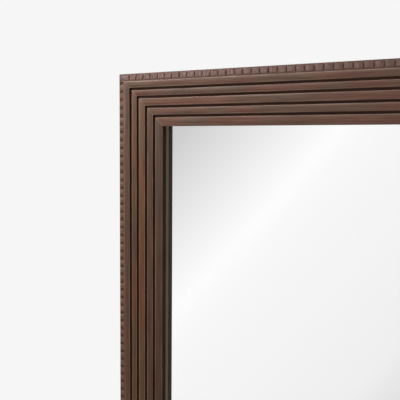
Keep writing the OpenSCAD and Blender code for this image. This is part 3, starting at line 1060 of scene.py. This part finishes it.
@dataclass
class ToothedStrips:
    """The four toothed strips let into the frame's outer edge."""

    bar: Tree
    first_seed: int = 11
    rail: ToothLook = ToothLook(0.64, 0.0, 0.0, 1.8, 0.65)
    stile: ToothLook = ToothLook(0.85, 0.5, 0.55, 1.0, 0.6)
    # How wide and how deep the teeth are rounded at their ends, and at a mitre
    round_w: float = 1.4 * MM
    round_h: float = 0.55 * MM
    mitre_h: float = 0.12 * MM
    round_steps: tuple[float, ...] = (0.0, 0.05, 0.2, 0.5, 1.0)
    # How far the teeth lie under the strip's face, and their feet under the gaps' floor
    inset: float = 0.015 * MM
    sunk: float = 0.4 * MM
    # How far the teeth reach into the bevel and the rim, how far in their outer foot
    # stands, and how far before and behind the end of the bevel their edge is broken
    into_bevel: float = 0.1 * MM
    into_rim: float = 0.2 * MM
    foot_in: float = 0.4 * MM
    broken: Point = (0.25 * MM, 0.35 * MM)
    # How far in from their ends the gaps' floor and the rim take their own share, and the
    # painted shadow at the bevel's foot, the rim's darker tone and the painted shade at its edge
    glaze_in: float = 0.3 * MM
    bevel_glaze: float = 0.5
    rim_glaze: float = 0.2
    edge_glaze: float = 0.4
    # The end teeth's shade and painted highlight, and how the painted highlight fades over a
    # tooth's end
    end_tone: float = 0.95
    end_rub: float = 0.5
    rub_fade: float = 0.5
    # How uneven the other teeth are in shade, in length and in their lean (radians)
    chance: Point = (0.93, 1.07)
    lengths: Point = (0.96, 1.03)
    lean: Point = (0.0015, 0.002)
    grain_apart: float = 7.3
    # The strips' own place among the bands
    band: float = 9.0

    def tooth(self, bm: BMesh, outer: Point, inner: Point, mitred: bool, rub: float) -> None:
        """Adds one tooth: a low block with rounded ends, and a bevel at its outer end.

        Args:
            bm: The mesh it goes into.
            outer: Where the tooth starts and ends along the strip's outer edge.
            inner: Where it starts and ends along the strip's inner edge.
            mitred: Whether its start lies against a mitre.
            rub: Strength of the painted highlight at its end, from 0 to 1.
        """
        s = SIZES
        wear = bm.verts.layers.float["wear"]
        root, stop = s.gap_start - self.into_bevel, s.gap_end + self.into_rim
        tops = (root, s.bevel_w - self.broken[0], s.bevel_w + self.broken[1], stop)
        section = [(root + self.foot_in, s.gap_floor(root) - self.sunk, 0.0)]
        section += [(u, s.strip_face(u) - self.inset, 1.0) for u in tops]
        section.append((stop, s.gap_floor(stop) - self.sunk, 0.0))
        ends = [(False, t) for t in self.round_steps]
        ends += [(True, t) for t in reversed(self.round_steps)]
        rings = []
        for last, along in ends:
            height = self.round_h if last or not mitred else self.mitre_h
            drop = height * (1 - math.sqrt(1 - (1 - along) ** 2))
            ring = []
            for u, w, top in section:
                a, b = (x + (y - x) * u / s.strip_w for x, y in zip(outer, inner))
                reach = math.copysign(along * min(self.round_w, abs(b - a) / 2), b - a)
                place = (b - reach if last else a + reach, s.rear_y - w + top * drop, -u)
                vert = bm.verts.new(place)
                # Painted highlight at the tooth's upper or right-hand end, fading over its rounding
                vert[wear] = rub * (1 - self.rub_fade * along) if last else 0.0
                ring.append(vert)
            rings.append(ring)
        bm.faces.new(rings[0])
        bm.faces.new(rings[-1][::-1])
        skin(bm, rings)

    def teeth(
        self, name: str, spans: Sequence[tuple[Point, Point]], mitred: bool, rub: float
    ) -> Piece:
        """Makes one object of several teeth.

        Args:
            name: The object's name.
            spans: Outer and inner span of each tooth.
            mitred: Whether the teeth start against a mitre.
            rub: Strength of the painted highlight at their ends, from 0 to 1.

        Returns:
            The object, whose points have the painted highlight that the finish reads.
        """
        bm = bmesh.new()
        bm.verts.layers.float.new("wear")
        for outer, inner in spans:
            self.tooth(bm, outer, inner, mitred, rub)
        return object_from(name, bm)

    def outline(self, look: ToothLook) -> Outline:
        """Draws the strip's body, up to the floor of the gaps, and its rim."""
        s = SIZES
        made = Outline()
        made.put((s.seam, s.seat), (0, s.seat + s.seam), (0, s.strip_face(0)), band=self.band)
        # On the stiles the gaps' floor and the bevel's foot take painted shadow; on the rails the
        # floor is lifted by painted light
        start = (s.gap_start, s.strip_face(s.gap_start))
        made.put(start, hollow=self.bevel_glaze * look.glaze, band=self.band)
        floor = [(u, s.gap_floor(u)) for u in (s.gap_start + self.glaze_in, s.gap_end)]
        made.put(*floor, hollow=look.glaze, band=self.band, tone=look.floor_tone)
        # A darker rim, and painted shade where the strip's inner edge meets the band
        rim = [(u, s.strip_face(u)) for u in (s.gap_end, s.strip_w - self.glaze_in)]
        made.put(*rim, hollow=self.rim_glaze, band=self.band)
        made.put((s.strip_w, s.strip_inner), hollow=self.edge_glaze, band=self.band)
        made.put((s.strip_w, s.seat), hollow=1.0, band=self.band)
        return made

    def tree(self) -> Tree:
        """Builds the tree: a mitred bar, with a row of slightly uneven teeth on it."""
        tree, node, given = geometry_tree(
            "toothed_strip",
            {"Outline": "Object", "Tooth": "Object", "End Teeth": "Object", "Length": "Float",
             "Pitch": "Float", "Teeth": "Int", "Tone": "Float", "Amber": "Float", "Seed": "Int",
             "Material": "Material"},
        )
        shared = {label: given[label] for label in ("Outline", "Length", "Seed", "Material")}
        bar = node("GeometryNodeGroup", shared, node_tree=self.bar)
        # Teeth stand a pitch apart, in the middle of the strip's length
        gaps = node(MINUS, (given["Teeth"], 1.0))
        run = node(TIMES, (gaps, given["Pitch"]))
        start = node(COMBINE, (node(TIMES, (run, -0.5)),))
        step = node(COMBINE, (given["Pitch"],))
        spaced = {"Count": given["Teeth"], "Start Location": start, "Offset": step}
        row = node("GeometryNodeMeshLine", spaced)
        tooth = node(OBJECT, {"Object": given["Tooth"]}, out="Geometry")
        by_seed, (y, z) = {"Seed": given["Seed"]}, self.lean
        lean = node(RANDOM, {0: (0.0, -y, -z), 1: (0.0, y, z), **by_seed}, data_type="FLOAT_VECTOR")
        low, high = ((length, 1.0, 1.0) for length in self.lengths)
        size = node(RANDOM, {0: low, 1: high, **by_seed}, data_type="FLOAT_VECTOR")
        teeth = node(
            "GeometryNodeInstanceOnPoints",
            {"Points": row, "Instance": tooth, "Rotation": lean, "Scale": size},
        )
        low, high = self.chance
        chance = node(RANDOM, {2: low, 3: high, **by_seed}, out=1, data_type="FLOAT")
        teeth = node(
            STORE, {"Geometry": teeth, "Name": "tone", "Value": chance},
            data_type="FLOAT", domain="INSTANCE",
        )
        teeth = node(REALIZE, (teeth,))
        ends = node(OBJECT, {"Object": given["End Teeth"]}, out="Geometry")
        ends = node(STORE, {"Geometry": ends, "Name": "tone", "Value": self.end_tone}, **FLOATS)
        joined = node("GeometryNodeJoinGeometry")
        for part in (ends, teeth):
            tree.links.new(part, joined.node.inputs[0])
        # The teeth's grain runs across the strip, and starts somewhere else on each tooth
        tone = node(NAMED, {"Name": "tone"}, data_type="FLOAT")
        apart = node(TIMES, (tone, self.grain_apart))
        x, y, z = node(SEPARATE, (node("GeometryNodeInputPosition"),)).node.outputs
        along = node(PLUS, (x, apart))
        across = node(MINUS, (apart, z))
        height = node(MINUS, (SIZES.rear_y, y))
        grain = node(COMBINE, (across, along, height))
        joined = node(STORE, {"Geometry": joined, "Name": "grain", "Value": grain}, **VECTORS)
        for label, value in (("mitre", 1.0), ("band", self.band)):
            joined = node(STORE, {"Geometry": joined, "Name": label, "Value": value}, **FLOATS)
        whole = node("GeometryNodeJoinGeometry")
        for part in (joined, bar):
            tree.links.new(part, whole.node.inputs[0])
        tone = node(NAMED, {"Name": "tone"}, data_type="FLOAT")
        tone = node(TIMES, (tone, given["Tone"]))
        for label, value in (("tone", tone), ("amber", given["Amber"])):
            whole = node(STORE, {"Geometry": whole, "Name": label, "Value": value}, **FLOATS)
        hand_out(node, whole, given["Material"])
        return tree

    def build(self, palette: Palette) -> None:
        """Builds, places and dresses the four strips."""
        s = SIZES
        tree = self.tree()
        for seed, side in enumerate(Side, self.first_seed):
            look = self.rail if side.rail else self.stile
            run = side.length - 2 * side.end_tooth - s.tooth_gap
            count = round(run / s.tooth_pitch)
            half = (run / count - s.tooth_gap) / 2
            # Where a side's own axis runs down or to the left, its teeth are turned about
            span = (half, -half) if side in (Side.BOTTOM, Side.RIGHT) else (-half, half)
            end, stop = side.length / 2, side.length / 2 - side.end_tooth
            spans = [
                ((-end + self.inset, -stop), (-end + s.strip_w, -stop)),
                ((end - self.inset, stop), (end - s.strip_w, stop)),
            ]
            piece = grow(
                side.strip + "_teeth", tree,
                {"Outline": self.outline(look).mesh_object("outline"),
                 "Tooth": self.teeth("tooth", [(span, span)], False, look.rub),
                 "End Teeth": self.teeth("end_teeth", spans, True, self.end_rub * look.rub),
                 "Length": side.length, "Pitch": run / count, "Teeth": count, "Tone": look.tone,
                 "Amber": look.amber, "Seed": seed, "Material": palette["tooth_timber"]},
            )
            side.set_up(piece, 50)
            dress(piece, palette, "tooth_timber", "frame", side.strip)


# Glass, backing and hardware


@dataclass
class Pane:
    """The silvered pane: clear glass with seamed edges over the silver."""

    seam: float = 0.5 * MM
    film: float = 0.05 * MM

    def build(self, palette: Palette) -> None:
        """Builds the glass."""
        low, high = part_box("mirror_glass")
        # The glass stays clear of the lip in front of it and of the silver behind it
        low.y += self.film / 2
        high.y -= self.film
        bm = bmesh.new()
        bmesh.ops.create_cube(bm, size=1.0)
        bmesh.ops.scale(bm, vec=high - low, verts=bm.verts)
        bmesh.ops.translate(bm, vec=(high + low) / 2, verts=bm.verts)
        round_edges(bm, bm.edges[:], self.seam, 2)
        piece = shade(object_from("mirror_pane", bm), 20)
        dress(piece, palette, "glass", "frame", "mirror_glass")


@dataclass(frozen=True)
class EasedPiece:
    """A piece with the form of its CAD node, and with rounded edges."""

    node: str
    name: str
    slot: str
    body: str = "frame"
    ease: float = 0.0
    # Edges sharper than this stay sharp, in degrees
    sharp: float = 32.0
    segments: int = 2
    # How far it stands out of the wood, so that its face shows
    proud: float = 0.0

    def build(self, palette: Palette) -> None:
        """Builds and dresses the piece."""
        bm = eased(self.node, self.ease, self.segments)
        bmesh.ops.translate(bm, verts=bm.verts, vec=(0, self.proud, 0))
        piece = shade(object_from(self.name, bm), self.sharp)
        if self.ease:
            # Large faces keep their own normals, so that only the rounded edges look round
            piece.modifiers.new("flat", "WEIGHTED_NORMAL").keep_sharp = True
            plain(piece)
        dress(piece, palette, self.slot, self.body, self.node)


PROUD = 0.04 * MM
BACKING = (
    EasedPiece("framers_points", "framers_point_blades", "zinc_steel", ease=0.12 * MM, segments=1),
    EasedPiece("corner_v_nails", "corner_nail_blades", "zinc_steel", proud=PROUD),
    EasedPiece("insert_nuts", "threaded_inserts", "brass", proud=PROUD),
)
WASHERS = EasedPiece("slot_washers", "slot_washers_eased", "zinc_steel", ease=0.18 * MM)
RING_STRAPS, RINGS = (
    [
        EasedPiece(f"{side}_{node}", f"{side}_{name}", "zinc_steel", body.format(side), ease, sharp)
        for side in HANDS
    ]
    for node, name, body, ease, sharp in (
        ("ring_strap", "ring_strap_folded", "frame", 0.25 * MM, 32.0),
        ("hanging_ring", "ring_wire", "{}_ring", 0.0, 60.0),
    )
)


@dataclass(frozen=True)
class ScrewSize:
    """Radius and height of a screw's head, and radius and length of its shank."""

    head_r: float
    head_h: float
    shank_r: float
    shank_l: float


@dataclass
class CrossHeadScrews:
    """Screws with domed heads and a cross recess, set at points with random turns."""

    first_seed: int = 3
    guide: ScrewSize = ScrewSize(4.75 * MM, 2.4 * MM, 2.45 * MM, 3.1 * MM)
    bumper: ScrewSize = ScrewSize(4.5 * MM, 2.4 * MM, 1.7 * MM, 15.9 * MM)
    strap: ScrewSize = ScrewSize(3.2 * MM, 1.8 * MM, 1.5 * MM, 11.9 * MM)
    # How far the heads' undersides stand off the back of the frame
    guide_off: float = 3.2 * MM
    bumper_off: float = 3 * MM
    strap_off: float = 1 * MM
    # How far under the ring's axis the strap's screws are
    drops: Point = (24 * MM, 34 * MM)
    steps: int = 36
    rim: float = 0.35
    dome_turns: tuple[int, ...] = (8, 20, 34, 50, 68)
    # The recess at its top and at its floor: reach, height and half width, as shares of
    # the head's radius, height and radius
    recess_top: tuple[float, float, float] = (0.62, 1.3, 0.13)
    recess_floor: tuple[float, float, float] = (0.34, 0.42, 0.09)
    turn: float = 3.1

    def screw(self, size: ScrewSize) -> Piece:
        """Makes one screw along +Y, its head's underside at Y = 0."""
        head_r, head_h, r, low = size.head_r, size.head_h, size.shank_r, -size.shank_l
        rim = self.rim * head_h
        turns = [math.radians(a) for a in self.dome_turns]
        dome = [(head_r * math.cos(a), rim + (head_h - rim) * math.sin(a)) for a in turns]
        bm = bmesh.new()
        lathe(
            bm,
            [(0.0, low), (0.4 * r, low + r), (r, low + 2.5 * r), (r, 0.0), (0.96 * head_r, 0.0),
             (head_r, 0.06 * head_h), (head_r, rim), *dome, (0.0, head_h)],
            self.steps,
        )
        body = object_from("screw", bm)
        cutter = bmesh.new()
        for turn in (0, 90):
            made = bmesh.ops.create_cube(cutter, size=1.0)["verts"]
            for vert in made:
                x, y, z = self.recess_floor if vert.co.y < 0 else self.recess_top
                x, z = (math.copysign(v * head_r, at) for v, at in ((x, vert.co.x), (z, vert.co.z)))
                vert.co = Vector((x, y * head_h, z))
            turned = Matrix.Rotation(math.radians(turn), 3, "Y")
            bmesh.ops.rotate(cutter, verts=made, cent=(0, 0, 0), matrix=turned)
        recess = object_from("recess", cutter)
        cut = body.modifiers.new("recess", "BOOLEAN")
        cut.object, cut.operation, cut.solver, cut.use_self = recess, "DIFFERENCE", "EXACT", True
        plain(body)
        discard(recess)
        return body

    def tree(self) -> Tree:
        """Builds the tree that sets a screw on each point, turned at random about its axis."""
        tree, node, given = geometry_tree(
            "screws", {"Places": "Object", "Screw": "Object", "Seed": "Int", "Material": "Material"}
        )
        places = node(OBJECT, {"Object": given["Places"]}, out="Geometry")
        screw = node(OBJECT, {"Object": given["Screw"]}, out="Geometry")
        span = {0: (0, -self.turn, 0), 1: (0, self.turn, 0), "Seed": given["Seed"]}
        turn = node(RANDOM, span, data_type="FLOAT_VECTOR")
        set_on = {"Points": places, "Instance": screw, "Rotation": turn}
        hand_out(node, node("GeometryNodeInstanceOnPoints", set_on), given["Material"])
        return tree

    def build(self, palette: Palette) -> None:
        """Builds the guide, bumper and ring strap screws."""
        s = SIZES
        tree = self.tree()
        hooks, stiles = (-s.hook_x, s.hook_x), (-s.stile_x, s.stile_x)
        kinds = (
            ("guide_screws", self.guide, self.guide_off, hooks, (s.guide_z,)),
            ("bumper_screws", self.bumper, self.bumper_off, stiles,
             (s.bumper_inset, s.height - s.bumper_inset)),
            ("ring_strap_screws", self.strap, self.strap_off, stiles,
             tuple(s.ring_z - drop for drop in self.drops)),
        )
        for seed, (name, size, off, across, heights) in enumerate(kinds, self.first_seed):
            mesh = bpy.data.meshes.new("places")
            mesh.from_pydata([(x, s.rear_y + off, z) for x in across for z in heights], [], [])
            piece = grow(
                name + "_cross_head", tree,
                {"Places": new_object("places", mesh), "Screw": self.screw(size),
                 "Seed": seed, "Material": palette["zinc_steel"]},
            )
            dress(shade(piece, 30), palette, "zinc_steel", "frame", name)


@dataclass
class DoorHook:
    """One sliding door hook: the bent strap, its two felts and its thumbscrew."""

    side: str
    strap_ease: float = 0.4 * MM
    flutes: int = 20
    per_flute: int = 8
    flute_r: float = 0.8 * MM
    flute_depth: float = 0.95
    head_r: float = 8 * MM
    head_h: float = 4.2 * MM
    stud_r: float = 2.45 * MM
    stud_steps: int = 28
    felt_ease: float = 0.45 * MM
    felt_segments: int = 3
    # The felts' edges are halved this often, down to this length
    halvings: int = 3
    felt_step: float = 1.4 * MM
    # The felt's nap lies this deep under its box, and is this uneven
    nap: float = 0.05 * MM
    nap_swing: float = 0.06 * MM
    nap_scale: float = 900.0
    fill: float = 0.95

    def felts(self, palette: Palette) -> None:
        """Makes the two felt pads, with soft edges and a slightly uneven nap."""
        for part in ("top", "tongue"):
            node = f"{self.side}_hook_{part}_felt"
            bm = eased(node, self.felt_ease, self.felt_segments)
            bmesh.ops.triangulate(bm, faces=bm.faces)
            for _ in range(self.halvings):
                long = [e for e in bm.edges if e.calc_length() > self.felt_step]
                bmesh.ops.subdivide_edges(bm, edges=long, cuts=1)
                bmesh.ops.triangulate(bm, faces=bm.faces)
            bm.normal_update()
            low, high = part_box(node)
            for vert in bm.verts:
                nap = self.nap_swing * noise.noise(vert.co * self.nap_scale) - self.nap
                moved = vert.co + vert.normal * nap
                vert.co = Vector(min(max(v, a), b) for v, a, b in zip(moved, low, high))
            piece = shade(object_from(node + "_pad", bm), 60)
            dress(piece, palette, "felt", f"{self.side}_hook", node)

    def thumbscrew(self, palette: Palette) -> None:
        """Turns the fluted thumbscrew: a low crowned head on a plain stud."""
        node = f"{self.side}_thumbscrew"
        low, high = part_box(node)
        face = high.y - self.head_h
        # Share of the head's radius, height over the head's face, depth under its crown
        rows = [
            *((share, face + up * MM) for share, up in (
                (0.55, 0), (0.93, 0), (0.985, 0.25), (1.0, 0.6)
            )),
            *((share, high.y - down * MM) for share, down in (
                (1.0, 0.7), (0.985, 0.35), (0.93, 0.1), (0.84, 0), (0.8, 0), (0.76, 0.25),
                (0.4, 0.3)
            )),
        ]
        bm = bmesh.new()
        steps = self.flutes * self.per_flute
        rings = []
        for share, y in rows:
            ring = []
            for i in range(steps):
                turn = 2 * math.pi * i / steps
                off = (i % self.per_flute) / self.per_flute - 0.5
                across = off * 2 * math.pi * self.head_r / self.flutes
                fluted = share > 0.9
                dip = math.sqrt(max(self.flute_r**2 - across**2, 0.0)) if fluted else 0.0
                radius = (self.head_r - dip * self.flute_depth) * share
                ring.append(bm.verts.new((radius * math.cos(turn), y, radius * math.sin(turn))))
            rings.append(ring)
        skin(bm, rings)
        bm.faces.new(rings[0])
        bm.faces.new(rings[-1])
        r, top = self.stud_r, face + 0.3 * MM
        stud = [(0.0, low.y), (0.7 * r, low.y), (r, low.y + 0.6 * MM), (r, top), (0.0, top)]
        lathe(bm, stud, self.stud_steps)
        x = -SIZES.hook_x if self.side == "left" else SIZES.hook_x
        bmesh.ops.translate(bm, verts=bm.verts, vec=(x, 0, SIZES.thumb_z))
        piece = shade(object_from(node + "_fluted", bm), 34)
        dress(piece, palette, "black_steel", node, node)

    def build(self, palette: Palette) -> None:
        """Builds the hook with its felts and thumbscrew."""
        hook, node, name = (self.side + end for end in ("_hook", "_door_hook", "_hook_strap"))
        EasedPiece(node, name, "black_steel", hook, self.strap_ease).build(palette)
        self.felts(palette)
        self.thumbscrew(palette)


@dataclass
class Bumpers:
    """The four rubber bumpers behind the corners, screwed on through their floors."""

    radius: float = 10 * MM
    height: float = 9 * MM
    taper: float = 1.5 * MM
    hole_r: float = 1.9 * MM
    bore_r: float = 4.7 * MM
    bore_ease: float = 0.5 * MM
    floor_h: float = 3 * MM
    floor_ease: float = 0.4 * MM
    skirt: float = 0.35 * MM
    skirt_h: float = 1.1 * MM
    soft: float = 0.8 * MM
    bulge: float = 0.15 * MM
    steps: int = 56

    def build(self, palette: Palette) -> None:
        """Turns the four bumpers."""
        skirt, soft, bore, ease = self.skirt, self.soft, self.bore_r, self.bore_ease
        tip = self.radius - self.taper + self.bulge
        outline = [
            (self.hole_r, 0.0), (self.radius - skirt, 0.0), (self.radius, skirt),
            (self.radius, self.skirt_h), (self.radius - skirt, self.skirt_h + skirt),
            *arc((tip - soft, self.height - soft), soft, 10, 90, 5),
            *arc((bore + ease, self.height - ease), ease, 90, 180, 4),
            (bore, self.floor_h + self.floor_ease), (bore - self.floor_ease, self.floor_h),
            (self.hole_r, self.floor_h), (self.hole_r, 0.0),
        ]
        top = SIZES.height - SIZES.bumper_inset
        for side, x in zip(HANDS, (-SIZES.stile_x, SIZES.stile_x)):
            for level, z in (("upper", top), ("lower", SIZES.bumper_inset)):
                bm = bmesh.new()
                lathe(bm, outline, self.steps)
                bmesh.ops.remove_doubles(bm, verts=bm.verts, dist=1e-7)
                bmesh.ops.translate(bm, verts=bm.verts, vec=(x, SIZES.rear_y, z))
                node = f"{level}_{side}_bumper"
                piece = shade(object_from(node + "_moulded", bm), 40)
                dress(piece, palette, "rubber", "frame", node)


# Studio


@dataclass(frozen=True)
class Lamp:
    """A soft square lamp."""

    name: str
    place: tuple[float, float, float]
    aim: tuple[float, float, float]
    size: float
    watts: float
    # Whether gloss shows it
    shown: bool

    def build(self) -> None:
        """Adds the lamp. The mirror shows the room, not its lamps."""
        data = bpy.data.lights.new(self.name, "AREA")
        data.shape, data.size, data.energy = "SQUARE", self.size, self.watts
        lamp = new_object(self.name, data)
        lamp.location = self.place
        ahead = Vector(self.aim) - Vector(self.place)
        lamp.rotation_euler = ahead.to_track_quat("-Z", "Y").to_euler()
        lamp.visible_camera = lamp.visible_transmission = False
        lamp.visible_glossy = self.shown


@dataclass
class Studio:
    """The camera, the light and the floor."""

    camera_place: Vector = field(default_factory=lambda: Vector((76.06, -480.22, 1239.65)) * MM)
    yaw: float = 30.694
    pitch: float = 4.318
    focal_px: float = 618.71
    picture_px: float = 400.0
    sensor_mm: float = 36.0
    shift: Point = (0.13375, -0.04875)
    backdrop: float = 0.921
    fill: float = 0.22
    gloss_level: float = 0.45
    lamps: tuple[Lamp, ...] = (
        Lamp("key_lamp", (-0.4, -0.34, 1.57), (-0.16, -0.04, 1.25), 0.3, 2.6, True),
        Lamp("low_lamp", (0.4, -1.3, 0.3), (0.0, 0.0, 0.3), 1.0, 4.0, False),
        Lamp("rear_lamp", (0.7, 1.6, 1.9), (0.0, 0.0, 0.8), 2.4, 26.0, True),
    )
    # Brightness of the room that the mirror shows, from its dark left to its bright right
    sweep: tuple[float, float, float] = (1.0, 0.0, -0.763)
    room: tuple[Point, ...] = (
        (0.03, 0.647), (0.08, 0.742), (0.15, 0.868), (0.2, 0.955), (0.26, 1.048), (0.3, 1.008),
        (0.34, 0.99), (0.6, 0.92), (0.85, 0.5),
    )
    floor_r: float = 1.6
    floor_drop: float = 0.2 * MM
    floor_fade: Range = (0.55, 1.5, 0.0, 1.0)
    floor_greys: Point = (0.5, 0.53)
    floor_glow: float = 0.48

    def camera(self) -> None:
        """Sets the camera where the photograph was taken from."""
        data = bpy.data.cameras.new("camera")
        data.sensor_fit, data.sensor_width = "HORIZONTAL", self.sensor_mm
        data.lens = self.focal_px * self.sensor_mm / self.picture_px
        data.shift_x, data.shift_y = self.shift
        data.clip_start, data.clip_end = 0.01, 50.0
        camera = new_object("camera", data)
        yaw, pitch = math.radians(self.yaw), math.radians(self.pitch)
        level = math.cos(pitch)
        ahead = Vector((-math.sin(yaw) * level, math.cos(yaw) * level, -math.sin(pitch)))
        camera.location = self.camera_place
        camera.rotation_euler = ahead.to_track_quat("-Z", "Y").to_euler()
        bpy.context.scene.camera = camera

    def world(self) -> None:
        """Makes the room: even for diffuse light, plain behind the object, and a soft
        sweep from grey to white in what glass and metal show."""
        world = bpy.data.worlds.new("studio")
        bpy.context.scene.world = world
        world.use_nodes = True
        world.node_tree.nodes.clear()
        node = partial(add, world.node_tree)
        rays = node("ShaderNodeLightPath").node.outputs
        direction = node(COORDS, out="Generated")
        sweep = node(VECTOR_DOT, (direction, self.sweep), out="Value")
        sweep = node(PLUS, (sweep, 0.5), use_clamp=True)
        room = set_stops(node(RAMP, (sweep,)), *((place, grey(v)) for place, v in self.room))
        level = grey(self.fill)
        for ray, seen in (
            ("Is Glossy Ray", grey(self.gloss_level)), ("Is Transmission Ray", room),
            ("Is Camera Ray", grey(self.backdrop)),
        ):
            level = node(MIX, {0: rays[ray], 6: level, 7: seen}, **COLOUR)
        light = node("ShaderNodeBackground", {"Color": level, "Strength": 1.0})
        node("ShaderNodeOutputWorld", {"Surface": light})

    def floor(self) -> None:
        """Lays a pale round floor that fades into the backdrop and keeps the shadow."""
        bm = bmesh.new()
        bmesh.ops.create_circle(bm, cap_ends=True, segments=96, radius=self.floor_r)
        floor = object_from("floor", bm)
        floor.location = (0, 0, -self.floor_drop)
        material = bpy.data.materials.new("floor_pale_matt")
        material.use_nodes = True
        material.node_tree.nodes.clear()
        node = partial(add, material.node_tree)
        rays = node("ShaderNodeLightPath").node.outputs
        place = node(COORDS, out="Object")
        far = node(VECTOR_LENGTH, (place,), out="Value")
        fade = node(RANGE, (far, *self.floor_fade), interpolation_type="SMOOTHSTEP")
        grit = node(NOISE, {"Vector": place, "Scale": 60.0, "Detail": 4.0})
        low, high = (grey(level) for level in self.floor_greys)
        tone = node(MIX, {0: grit, 6: low, 7: high}, **COLOUR)
        matt = node("ShaderNodeBsdfDiffuse", {"Color": tone})
        seen = rays["Is Camera Ray"]
        for ray in ("Is Glossy Ray", "Is Transmission Ray"):
            seen = node(HIGHER, (seen, rays[ray]))
        glow = node(TIMES, (seen, self.floor_glow))
        glow = node("ShaderNodeEmission", {"Strength": glow})
        lit = node("ShaderNodeAddShader", (matt, glow))
        clear = node("ShaderNodeBsdfTransparent")
        surface = node("ShaderNodeMixShader", (fade, lit, clear))
        node("ShaderNodeOutputMaterial", {"Surface": surface})
        floor.data.materials.append(material)

    def build(self) -> None:
        """Builds the whole studio."""
        bpy.context.scene.view_settings.view_transform = "Standard"
        self.camera()
        self.world()
        for lamp in self.lamps:
            lamp.build()
        self.floor()
        log.info("studio: camera, room, %d lamps and floor", len(self.lamps))


# The whole


def main() -> None:
    """Builds the mirror's looks in order."""
    logging.basicConfig(level=logging.INFO, format="%(name)s: %(message)s")
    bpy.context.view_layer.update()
    Studio().build()
    palette = {slot: finish.material() for slot, finish in FINISHES.items()}
    bar = MitredBar().tree()
    for node, slot in (
        ("mirror_silvering", "silver"), ("backing_board", "board"), ("glass_pads", "rubber")
    ):
        paint_node(node, palette[slot])
    for part in (
        FrameMoulding(bar), ToothedStrips(bar), Pane(), *BACKING, CrossHeadScrews(), WASHERS,
        *(DoorHook(side) for side in HANDS), Bumpers(),
        *(part for pair in zip(RING_STRAPS, RINGS) for part in pair),
    ):
        part.build(palette)


if __name__ == "__main__":
    main()
